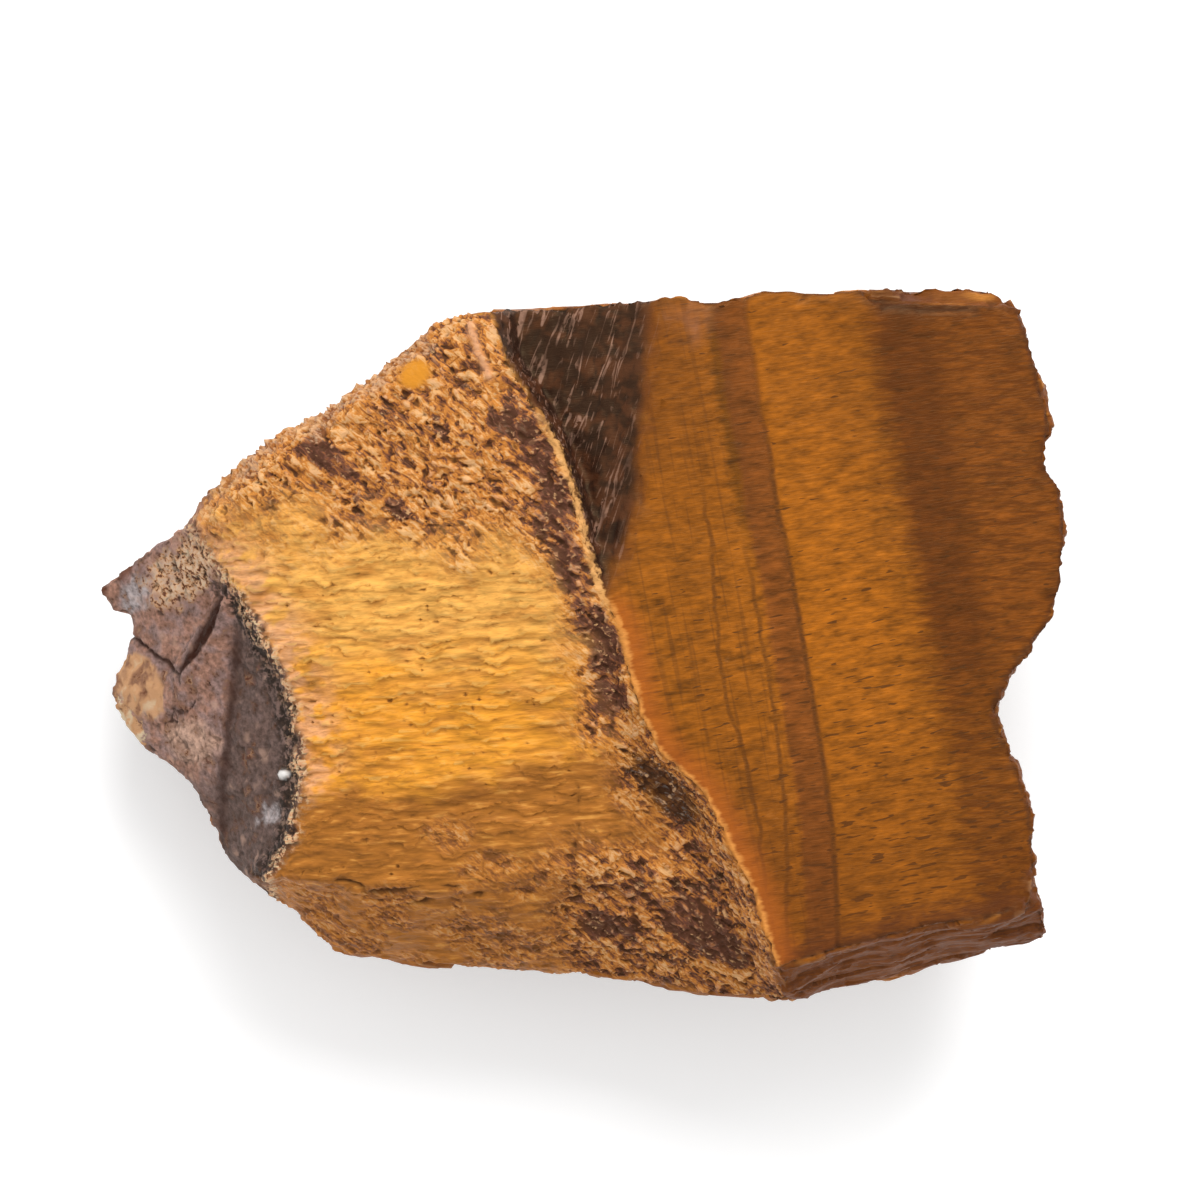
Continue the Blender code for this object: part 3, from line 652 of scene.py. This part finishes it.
def make_stone_mesh():
    """The stone's fine surface in metres, with its relief and its masks."""
    mesh = refined_copy(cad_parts[NODE])
    places, normals, edges = read_surface(mesh)
    softened = blurred_places(places, edges, SOFTEN_ROUNDS)
    bulge = ((places - softened) * normals).sum(axis=1) / SHARP_EDGE
    zones = find_zones(places, normals)
    add_left_face_spots(places, zones)
    add_crust_spots(places, zones)
    add_splinters(places, zones)
    add_patterns(places, zones)
    relief = find_relief(places, zones, bulge)
    zones["edge"] = np.clip(bulge, 0.0, 1.0)
    near_step = bump_at(in_front_of(places, BROWN_STEP), 0.0, 2.5) * zones["left"]
    kept = np.clip(np.abs(bulge), 0.0, 1.0) * (1 - near_step)
    hide_facets = (zones["left"] + zones["side"]) * (1 - kept)
    moved = places + (softened - places) * hide_facets[:, None] + normals * relief[:, None]
    moved[:, 2] = np.maximum(moved[:, 2], 0.0)
    # How far each point stands above or sinks below its softened surroundings: the material uses this to
    # paint shade into the hollows and highlights onto the crests.
    zones["height"] = relief - blurred(relief, edges, CAVITY_ROUNDS)

    mesh.vertices.foreach_set("co", moved.ravel())
    write_masks(mesh, zones)
    mesh = with_plain_underside(mesh)
    share = MOST_TRIANGLES / len(mesh.polygons)
    if share < 1:
        mesh = with_modifier(mesh, "DECIMATE", decimate_type="COLLAPSE", ratio=share)
    mesh.transform(Matrix.Scale(METRES_PER_MM, 4))
    mesh.shade_smooth()
    mesh.name = "stone_surface"
    return mesh


def make_stone():
    """The visible stone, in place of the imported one."""
    stone = new_object("stone_surface", make_stone_mesh())
    stone.data.materials.clear()
    stone.data.materials.append(make_stone_material())
    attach(stone, BODY)
    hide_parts(NODE)


# ---- Materials.
def fill(node, settings):
    """Sets the node's sockets to these values."""
    for name, value in settings.items():
        node.inputs[name].default_value = value


class Nodes:
    """Short names for the shader nodes used here. A value is a number, a socket or a mask's name."""

    def __init__(self, name):
        self.material = bpy.data.materials.new(name)
        self.material.use_nodes = True
        self.tree = self.material.node_tree
        self.shader = self.tree.nodes["Principled BSDF"]
        self.place = self.scaled(self.new("TexCoord").outputs["Object"], (MM_PER_METRE,) * 3)
        self.y = self.split(self.place)["Y"]
        self.masks = {}

    def new(self, kind):
        return self.tree.nodes.new("ShaderNode" + kind)

    def link(self, value, socket):
        if isinstance(value, str):
            value = self.mask(value)
        if isinstance(value, bpy.types.NodeSocket):
            self.tree.links.new(value, socket)
        else:
            socket.default_value = value

    def split(self, vector):
        node = self.new("SeparateXYZ")
        self.link(vector, node.inputs[0])
        return node.outputs

    def scaled(self, vector, scale, degrees=0.0):
        node = self.new("Mapping")
        fill(node, {"Scale": scale, "Rotation": (0.0, 0.0, np.radians(degrees))})
        self.link(vector, node.inputs["Vector"])
        return node.outputs["Vector"]

    def noise(self, degrees, length, width, detail=2.0, roughness=0.55, distortion=0.0):
        """Noise of 0 to 1 in patches of this length and width, lying at this angle in plan."""
        turned = self.scaled(self.place, (1.0, 1.0, 1.0), -degrees)
        node = self.new("TexNoise")
        fill(node, {"Scale": 1.0, "Detail": detail, "Roughness": roughness, "Distortion": distortion})
        self.link(self.scaled(turned, (1.0 / length, 1.0 / width, 1.0 / width)), node.inputs["Vector"])
        return node.outputs["Fac"]

    def math(self, operation, *values):
        node = self.new("Math")
        node.operation = operation
        for value, socket in zip(values, node.inputs):
            self.link(value, socket)
        return node.outputs[0]

    def both(self, first, second):
        return self.math("MULTIPLY", first, second)

    def shifted(self, value, by, amount):
        """The value moved by a noise of 0 to 1, up to half the amount each way."""
        return self.math("ADD", value, self.math("MULTIPLY_ADD", by, amount, -amount / 2))

    def spread(self, value, low, high, to_low=0.0, to_high=1.0):
        """The value moved smoothly from one range to another, and kept inside it."""
        node = self.new("MapRange")
        node.interpolation_type = "SMOOTHSTEP"
        self.link(value, node.inputs["Value"])
        fill(node, {"From Min": low, "From Max": high, "To Min": to_low, "To Max": to_high})
        return node.outputs["Result"]

    def between(self, value, low, high, soft, most=1.0):
        """Up to most where the value lies between two limits."""
        rise = self.spread(value, low - soft, low + soft, 0.0, most)
        return self.both(rise, self.spread(value, high + soft, high - soft))

    def mask(self, name):
        group, axis = divmod(MASKS.index(name), 3)
        if group not in self.masks:
            node = self.new("Attribute")
            node.attribute_name = MASK_VECTOR.format(group)
            self.masks[group] = self.split(node.outputs["Vector"])
        return self.masks[group][axis]

    def mix(self, share, first, second):
        node = self.new("Mix")
        node.data_type = "RGBA"
        self.link(share, node.inputs["Factor"])
        self.link(first, node.inputs["A"])
        self.link(second, node.inputs["B"])
        return node.outputs["Result"]

    def fade(self, colour, tone, value, low, high, most=1.0):
        """The colour, going over to the tone by up to most as the value goes from low to high."""
        return self.mix(self.spread(value, low, high, 0.0, most), colour, tone)

    def valued(self, colour, value):
        """The colour made darker or lighter."""
        node = self.new("HueSaturation")
        self.link(value, node.inputs["Value"])
        self.link(colour, node.inputs["Color"])
        return node.outputs["Color"]

    def ramp(self, value, stops):
        """A colour ramp; stops are (position, colour)."""
        node = self.new("ValToRGB")
        elements = node.color_ramp.elements
        while len(elements) < len(stops):
            elements.new(1.0)
        for element, (position, colour) in zip(elements, stops):
            element.position = position
            element.color = colour
        self.link(value, node.inputs["Fac"])
        return node.outputs["Color"]


# How much brighter than a white card's own colour the stage light makes it.
LIGHT_LEVEL = 1.25


def shade(red, green, blue):
    """A colour picked as it looks under this light, 0 to 255, as the linear colour a shader takes."""
    screen = np.array((red, green, blue)) / 255.0
    linear = np.where(screen <= 0.04045, screen / 12.92, ((screen + 0.055) / 1.055) ** 2.4)
    return (*map(float, linear / LIGHT_LEVEL), 1.0)


AMBER = shade(151, 84, 14)
HONEY = shade(166, 93, 16)
UMBER = shade(120, 62, 22)
BARK = shade(102, 50, 8)
RUST = shade(126, 66, 14)
OLIVE = shade(104, 58, 4)
STREAK_DARK = shade(90, 42, 8)
GROOVE_DARK = shade(78, 42, 16)
ORANGE = shade(190, 98, 34)
EDGE_GLOW = shade(236, 156, 76)
EDGE_CREAM = shade(240, 178, 108)
PALE_GOLD = shade(236, 172, 84)
RICH_GOLD = shade(228, 149, 42)
DEEP_GOLD = shade(196, 124, 48)
BROWN_GOLD = shade(168, 104, 40)
ORANGE_GOLD = shade(216, 136, 56)
PINK_GOLD = shade(228, 166, 122)
TORN_GOLD = shade(226, 166, 102)
TORN_ORANGE = shade(204, 130, 60)
TORN_BROWN = shade(154, 92, 50)
PINK_BROWN = shade(176, 116, 86)
CREAM = shade(238, 184, 128)
LIT_GOLD = shade(244, 190, 104)
PURPLE_BROWN = shade(112, 68, 56)
GAP_AND_SHADE_BROWN = shade(72, 40, 24)
HOLLOW_GREY = shade(124, 114, 108)
CRACK_AND_SHADE_BROWN = shade(84, 46, 20)
WEDGE_SHADE = shade(34, 20, 18)
WEDGE_BROWN = shade(50, 28, 20)
WEDGE_WARM = shade(82, 46, 28)
WEDGE_PALE = shade(164, 124, 104)
RED_BROWN = shade(96, 48, 24)
PINK_CRUST = shade(186, 150, 130)
TIP_RUST = shade(92, 44, 26)
MAUVE = shade(142, 114, 108)
RED_MAUVE = shade(152, 112, 96)
GREY_MAUVE = shade(92, 74, 70)
LILAC_GREY = shade(162, 152, 152)
TAN = shade(212, 160, 114)
PALE_CRUST = shade(226, 202, 166)
SPECKLE = shade(226, 190, 160)
BLACKISH = shade(44, 36, 36)
SEAM_CREAM = shade(226, 198, 156)
MAROON_CRACK = shade(50, 20, 18)
CRYSTAL = shade(248, 244, 240)
EDGE_PINK = shade(226, 184, 146)

# Tones along a noise, and tones of the bands by their place across them, mm.
CRUMB_TONES = [(0.30, PALE_CRUST), (0.44, SPECKLE), (0.54, TAN), (0.62, TIP_RUST), (0.70, PURPLE_BROWN)]
TORN_TONES = [
    (0.0, GAP_AND_SHADE_BROWN), (0.16, PURPLE_BROWN), (0.34, TORN_BROWN), (0.50, TORN_ORANGE), (0.64, ORANGE_GOLD),
    (0.78, TORN_GOLD), (1.0, CREAM),
]
BANDS = [
    (2.0, AMBER), (12.0, AMBER), (16.0, AMBER), (22.0, HONEY), (27.0, HONEY), (33.0, AMBER),
    (35.2, BARK), (38.5, BARK), (41.0, RUST), (48.0, RUST),
]


def band_colour(n, fine, broad):
    """Golden-brown bands across the fibres, with feathered edges."""
    dot = n.new("VectorMath")
    dot.operation = "DOT_PRODUCT"
    n.link(n.place, dot.inputs[0])
    dot.inputs[1].default_value = ACROSS_BANDS
    across = n.shifted(n.shifted(dot.outputs["Value"], fine, 1.2), broad, 2.0)
    first, last = BANDS[0][0], BANDS[-1][0]
    share = n.math("DIVIDE", n.math("SUBTRACT", across, first), last - first)
    colour = n.ramp(share, [((spot - first) / (last - first), tone) for spot, tone in BANDS])
    return colour, across


def striped(n, bands, mottled):
    """The bands, with the olive stripe and the brown strip between them."""
    bands = n.fade(bands, AMBER, n.y, 2.0, -14.0, 0.45)
    olive = n.between(n.shifted("past_olive", mottled, 1.4), 0.1, 1.9, 0.6, 0.9)
    colour = n.mix(olive, bands, n.fade(OLIVE, AMBER, n.y, 17.0, 5.0))
    lit = n.both(n.between("past_olive", 0.5, 1.6, 0.4, 0.6), n.spread(n.y, 9.0, -3.0))
    colour = n.mix(lit, colour, HONEY)
    strip = n.between(n.shifted("past_groove", mottled, 1.0), -3.0, 0.1, 0.4, 0.8)
    return n.mix(strip, colour, UMBER)


def woven(n, colour, across):
    """Thin threads along the stripes, a darker weave far right, and short dark dashes."""
    thread = n.noise(100.7, 14.0, 0.5, 1.0)
    threads = n.both(n.spread(thread, 0.52, 0.70, 0.0, 0.35), n.between(across, 7.0, 19.0, 3.0))
    colour = n.mix(threads, colour, GROOVE_DARK)
    weave = n.noise(1.0, 5.0, 0.38, 1.0)
    weaving = n.both(n.spread(weave, 0.48, 0.62, 0.0, 0.6), n.spread(across, 30.0, 35.0))
    colour = n.mix(weaving, colour, STREAK_DARK)
    streak = n.noise(11.0, 1.9, 0.36, 1.0)
    crowd = n.both(n.spread(n.y, 14.0, -20.0, 0.25, 1.0), n.spread(across, 4.0, 26.0, 0.45, 1.0))
    beyond = n.math("ADD", streak, n.math("MULTIPLY_ADD", crowd, 0.11, -0.73))
    return n.fade(colour, GROOVE_DARK, beyond, 0.0, 0.05, 0.8)


def grooved(n, colour, mottled, broad):
    """One clear groove and two faint ones, each dark in places."""
    groove = n.math("ABSOLUTE", n.shifted("past_groove", broad, 0.4))
    shown = n.both(n.spread(mottled, 0.66, 0.40, 0.35, 0.95), n.spread(n.y, 26.0, 14.0, 0.3, 1.0))
    colour = n.mix(n.both(n.spread(groove, 0.42, 0.04, 0.0, 0.85), shown), colour, GROOVE_DARK)
    for name, starts in (("past_faint", 14.0), ("past_olive", 8.0)):
        line = n.math("ABSOLUTE", n.shifted(name, broad, 0.8))
        shown = n.both(n.spread(mottled, 0.62, 0.42, 0.2, 0.65), n.spread(n.y, starts + 3.0, starts - 3.0))
        colour = n.mix(n.both(n.spread(line, 0.34, 0.05), shown), colour, GROOVE_DARK)
    return colour


def with_margins(n, colour, mottled, across):
    """Darker in front and behind, most of all on the left, with painted shade where the face's edges round
    off and a painted glow along the thin edge at the ridge.
    """
    for starts, ends, right, left in ((-4.0, -24.0, 0.36, 0.52), (6.0, 26.0, 0.22, 0.40)):
        dimmed = n.both(n.spread(n.y, starts, ends), n.spread(across, 24.0, 14.0, right, left))
        colour = n.mix(dimmed, colour, STREAK_DARK)
    colour = n.mix(n.both("pink_corner", 0.6), colour, PINK_BROWN)
    colour = n.fade(colour, RED_BROWN, n.shifted("past_front", mottled, 3.5), -3.2, 0.2, 0.8)
    # Painted shade where the face's edges round off.
    colour = n.fade(colour, GAP_AND_SHADE_BROWN, "edge", 0.25, 1.0, 0.6)
    past_ridge = n.shifted("past_ridge", mottled, 1.2)
    below_wedge = n.spread(n.y, 6.0, 3.0)
    # A painted glow of light shining through the thin edge at the ridge: orange near it, brightest right at
    # it.
    colour = n.mix(n.both(n.spread(past_ridge, 3.4, 0.5, 0.0, 0.6), below_wedge), colour, ORANGE)
    return n.mix(n.both(n.spread(past_ridge, 0.8, 0.2, 0.0, 0.9), below_wedge), colour, EDGE_GLOW)


def smooth_face_colour(n, bands, across, fine, broad):
    """The smooth face: stripes, then their mottling, threads and dashes, grooves and margins."""
    mottled = n.noise(SMOOTH_FIBRE, 1.9, 0.6, 2.0, 0.65)
    value = n.shifted(n.shifted(0.95, fine, -0.5), mottled, -1.9)
    colour = n.valued(striped(n, bands, mottled), n.shifted(value, broad, -0.5))
    colour = grooved(n, woven(n, colour, across), mottled, broad)
    return with_margins(n, colour, mottled, across)


def golden_face_colour(n, fine, broad):
    """Silky gold, richest in the middle of the stone and browner in front, with painted shade in the hollows
    of its fibre steps and painted highlights on their crests.
    """
    fibre = n.noise(GOLD_FIBRE, 3.0, 0.55, 2.0, 0.6)
    patch = n.mask("gold_patch")
    gold = n.fade(PALE_GOLD, RICH_GOLD, n.shifted(n.y, patch, 16.0), 3.0, -6.0, 0.9)
    near_seam = n.both(n.spread("past_seam", 6.0, 1.0, 0.0, 0.8), n.spread(broad, 0.38, 0.55))
    gold = n.mix(near_seam, gold, PINK_GOLD)
    gold = n.mix("brown_step", gold, BROWN_GOLD)
    gold = n.fade(gold, ORANGE_GOLD, patch, 0.50, 0.68, 0.5)
    value = n.shifted(n.shifted(1.02, fibre, -2.1), patch, -0.9)
    gold = n.valued(gold, n.shifted(value, broad, -0.3))
    gold = n.fade(gold, PALE_GOLD, fibre, 0.45, 0.28, 0.5)
    gold = n.fade(gold, TORN_BROWN, fine, 0.54, 0.74, 0.35)
    # Painted shade in the hollows of the fibre steps, and painted highlights on their crests.
    gold = n.fade(gold, DEEP_GOLD, "height", 0.02, -0.10, 0.45)
    gold = n.fade(gold, CRACK_AND_SHADE_BROWN, "height", -0.06, -0.22, 0.65)
    lit = n.mix("brown_step", LIT_GOLD, ORANGE_GOLD)
    return n.fade(gold, lit, "height", 0.04, 0.14, 0.45)


def torn_face_colour(n, fine, broad):
    """Splinters in patches of many tones, with painted shade in the gaps between them and painted highlights
    on their crests.
    """
    sliver = n.noise(TORN_FIBRE, 1.7, 0.42, 3.0, 0.65, 0.8)
    patch = n.mask("torn_patch")
    tone = n.shifted(n.math("MULTIPLY_ADD", "tone", 0.5, 0.27), patch, -1.5)
    tone = n.math("SUBTRACT", n.shifted(tone, sliver, -2.4), n.both("brown_step", 0.14))
    purple = n.spread(n.shifted("purple", patch, 1.4), 0.25, 0.75, 0.0, 0.42)
    torn = n.ramp(n.math("SUBTRACT", tone, purple), TORN_TONES)
    torn = n.mix(n.both(purple, 0.9), torn, PURPLE_BROWN)
    # Painted highlights on the splinters' crests, and painted shade in the gaps between them.
    crests = n.fade(CREAM, PINK_GOLD, broad, 0.36, 0.54)
    torn = n.fade(torn, crests, "height", 0.08, 0.32, 0.7)
    torn = n.fade(torn, GAP_AND_SHADE_BROWN, "height", -0.04, -0.28, 0.8)
    speck = n.noise(-30.0, 0.9, 0.45, 2.0, 0.6)
    # A pale pink rim along the back-left edge: a painted highlight, broken by brown specks.
    edge = n.fade(EDGE_PINK, TORN_BROWN, speck, 0.42, 0.58)
    torn = n.fade(torn, edge, n.shifted("pale_edge", patch, 2.4), 0.3, 1.0, 0.6)
    hollow = n.fade(GAP_AND_SHADE_BROWN, HOLLOW_GREY, speck, 0.46, 0.34, 0.9)
    torn = n.fade(torn, hollow, n.shifted("hollow", sliver, 1.6), 0.2, 0.8, 0.8)
    # Pale specks painted as highlights, kept out of the hollows.
    bright = n.both(n.spread(speck, 0.40, 0.30, 0.0, 0.7), n.spread("height", -0.1, 0.08))
    torn = n.mix(bright, torn, CREAM)
    torn = n.mix(n.both("clean_spot", 0.9), torn, RICH_GOLD)
    return n.mix("pink_rod", torn, PINK_GOLD)


def wedge_colour(n, broad):
    """Near-black brown with pale scratchy fibres."""
    scratch = n.noise(WEDGE_SCRATCHES, 7.0, 0.66, 2.0, 0.5, 1.4)
    colour = n.fade(WEDGE_BROWN, WEDGE_WARM, broad, 0.42, 0.62)
    # Painted shade in the hollows of the scratchy steps.
    colour = n.fade(colour, WEDGE_SHADE, "height", 0.0, -0.15, 0.8)
    colour = n.fade(colour, UMBER, "past_fade", -1.6, 0.2, 0.6)
    on_left = n.spread("past_fade", -1.0, -5.0, 0.35, 0.85)
    crowd = n.both(n.spread(broad, 0.36, 0.60, 0.4, 1.0), on_left)
    return n.mix(n.both(n.spread(scratch, 0.54, 0.68), crowd), colour, WEDGE_PALE)


def crust_colour(n, grain, broad):
    """Dull mauve ironstone: slabs of different tones, pale crumbs, and a maroon crack, with painted shade in
    the hollows and between the crumbs.
    """
    rusty = n.mask("rusty_patch")
    colour = n.fade(MAUVE, RED_MAUVE, broad, 0.40, 0.60)
    colour = n.mix(n.both("pink_slab", 0.85), colour, PINK_CRUST)
    colour = n.mix(n.both("dark_strip", 0.9), colour, GREY_MAUVE)
    colour = n.fade(colour, GREY_MAUVE, n.y, -10.0, -15.0, 0.6)
    colour = n.fade(colour, LILAC_GREY, n.shifted("lilac", rusty, 1.0), 0.2, 0.8, 0.9)
    colour = n.valued(colour, n.shifted(n.shifted(1.0, rusty, -2.0), grain, -2.4))
    colour = n.fade(colour, PURPLE_BROWN, rusty, 0.52, 0.66, 0.5)
    colour = n.fade(colour, PINK_CRUST, rusty, 0.44, 0.32, 0.5)
    # Painted shade in the crust's hollows.
    colour = n.fade(colour, BLACKISH, "height", -0.02, -0.14, 0.6)
    tan = n.fade(TAN, PURPLE_BROWN, rusty, 0.48, 0.62, 0.8)
    tan = n.fade(tan, PALE_CRUST, rusty, 0.46, 0.36, 0.6)
    colour = n.fade(colour, tan, n.shifted("tan", rusty, 1.6), 0.3, 0.7, 0.85)
    pale = n.fade(PALE_CRUST, TAN, rusty, 0.45, 0.55)
    colour = n.fade(colour, pale, n.shifted("pale_rim", grain, 1.8), 0.4, 0.7, 0.85)
    speckle = n.shifted(n.shifted("speckle", rusty, 2.4), grain, 1.5)
    colour = n.fade(colour, n.ramp(grain, CRUMB_TONES), speckle, 0.1, 1.0, 0.95)
    colour = n.mix(n.both("tip_rim", 0.85), colour, TIP_RUST)
    colour = n.mix(n.both("crease", 0.8), colour, MAROON_CRACK)
    # Painted shade in the gaps between the crumbs.
    gaps = n.both(n.spread("height", 0.0, -0.14), n.math("MAXIMUM", "grains", "speckle"))
    colour = n.mix(n.both(gaps, 0.8), colour, BLACKISH)
    grains = n.both(n.spread(n.shifted(grain, rusty, 0.6), 0.44, 0.54), "grains")
    colour = n.mix(grains, colour, BLACKISH)
    return n.mix("crack", colour, MAROON_CRACK)


def side_colour(n, bands, fine, broad):
    """The same bands broken across: browner, with painted shade in the gaps and painted highlights on the
    torn edges.
    """
    torn = n.mask("side_patch")
    dull = n.fade(bands, RED_BROWN, broad, 0.48, 0.66, 0.55)
    dull = n.fade(dull, PURPLE_BROWN, torn, 0.52, 0.68, 0.6)
    dull = n.fade(dull, DEEP_GOLD, torn, 0.46, 0.32, 0.7)
    dull = n.valued(dull, n.shifted(1.0, fine, -0.8))
    # Painted shade in the gaps and painted highlights on the torn crests.
    dull = n.fade(dull, GAP_AND_SHADE_BROWN, "height", 0.0, -0.25, 0.85)
    return n.fade(dull, CREAM, "height", 0.08, 0.32, 0.3)


def make_stone_material():
    """One material over the whole stone; masks on the surface say which zone is where."""
    n = Nodes("tigers_eye")
    fine = n.noise(8.0, 1.4, 0.15, 2.0, 0.6)
    broad = n.noise(0.0, 2.4, 1.8)
    grain = n.noise(0.0, 0.55, 0.5, 2.0, 0.6)
    bands, across = band_colour(n, fine, broad)
    colour = side_colour(n, bands, fine, broad)
    left = n.mix("coarse", golden_face_colour(n, fine, broad), torn_face_colour(n, fine, broad))
    left = n.mix(n.both("front_strip", 0.12), left, RED_BROWN)
    left = n.mix("low_crack", left, CRACK_AND_SHADE_BROWN)
    colour = n.mix("left", colour, left)
    # The front-right strip: dark red-brown stone, deepened with painted shade, and painted shade in its
    # hollows.
    strip = n.fade(RED_BROWN, UMBER, fine, 0.40, 0.60)
    strip = n.fade(strip, GAP_AND_SHADE_BROWN, "height", 0.0, -0.25, 0.8)
    colour = n.mix(n.both("right_strip", 0.9), colour, strip)
    colour = n.mix("smooth", colour, smooth_face_colour(n, bands, across, fine, broad))
    colour = n.mix("wedge", colour, wedge_colour(n, broad))
    # A dark line painted along the small ledge at the back as its shade.
    colour = n.mix(n.both("ledge", 0.9), colour, GAP_AND_SHADE_BROWN)
    # A painted highlight along the crest of the ridge, beside the wedge.
    crest = n.between(n.shifted("past_ridge", grain, 0.9), -0.55, 0.15, 0.15, 0.85)
    crest = n.both(n.both(crest, n.between(n.y, 4.0, 21.0, 2.0)), n.spread(broad, 0.30, 0.50))
    colour = n.mix(crest, colour, EDGE_CREAM)
    colour = n.mix("crust", colour, crust_colour(n, grain, broad))
    crumbs = n.fade(SEAM_CREAM, PINK_GOLD, fine, 0.40, 0.60)
    # Painted shade between the crumbs.
    crumbs = n.fade(crumbs, GAP_AND_SHADE_BROWN, "height", 0.02, -0.10, 0.8)
    seam = n.both("seam", n.spread(n.shifted(grain, broad, 0.4), 0.56, 0.44))
    colour = n.mix(seam, colour, crumbs)
    colour = n.mix("crystal", colour, CRYSTAL)
    n.link(colour, n.shader.inputs["Base Color"])

    fill(n.shader, STONE_SHINE)
    gloss = n.spread(fine, 0.3, 0.7, 0.42, 0.60)
    dull = n.math("MULTIPLY_ADD", "crust", 0.2, gloss)
    n.link(dull, n.shader.inputs["Roughness"])
    bump = n.new("Bump")
    fill(bump, FINE_BUMP)
    n.link(fine, bump.inputs["Height"])
    n.link(bump.outputs["Normal"], n.shader.inputs["Normal"])
    return n.material


def make_floor():
    """A wide, plain, pale floor."""
    bpy.ops.mesh.primitive_plane_add(size=FLOOR_SIZE, location=(0.0, 0.0, 0.0))
    floor = bpy.context.object
    floor.name = "floor"
    material = bpy.data.materials.new("floor")
    material.use_nodes = True
    fill(material.node_tree.nodes["Principled BSDF"], FLOOR_LOOK)
    floor.data.materials.append(material)


def make_lights():
    """A big soft light from the back right, a weaker one from the left, and a bright even room."""
    world = bpy.data.worlds.new("room")
    bpy.context.scene.world = world
    world.use_nodes = True
    fill(world.node_tree.nodes["Background"], ROOM_LIGHT)
    for name, (place, size, power) in LAMPS.items():
        light = bpy.data.lights.new(name, "AREA")
        light.size = size
        light.energy = power
        lamp = new_object(name, light)
        lamp.location = place
        lamp.rotation_euler = (-lamp.location).to_track_quat("-Z", "Y").to_euler()


def make_camera():
    """Looks straight down at the stone from well above it."""
    data = bpy.data.cameras.new("camera")
    data.lens = LENS
    data.sensor_width = SENSOR
    camera = new_object("camera", data)
    height = PICTURE_PLANE + PICTURE_WIDTH * LENS / SENSOR
    camera.location = [METRES_PER_MM * length for length in (*PICTURE_CENTRE, height)]
    bpy.context.scene.camera = camera


make_camera()
make_lights()
make_floor()
make_stone()
bpy.context.scene.view_settings.view_transform = "Standard"
for name, bounces in BOUNCES.items():
    setattr(bpy.context.scene.cycles, name, bounces)
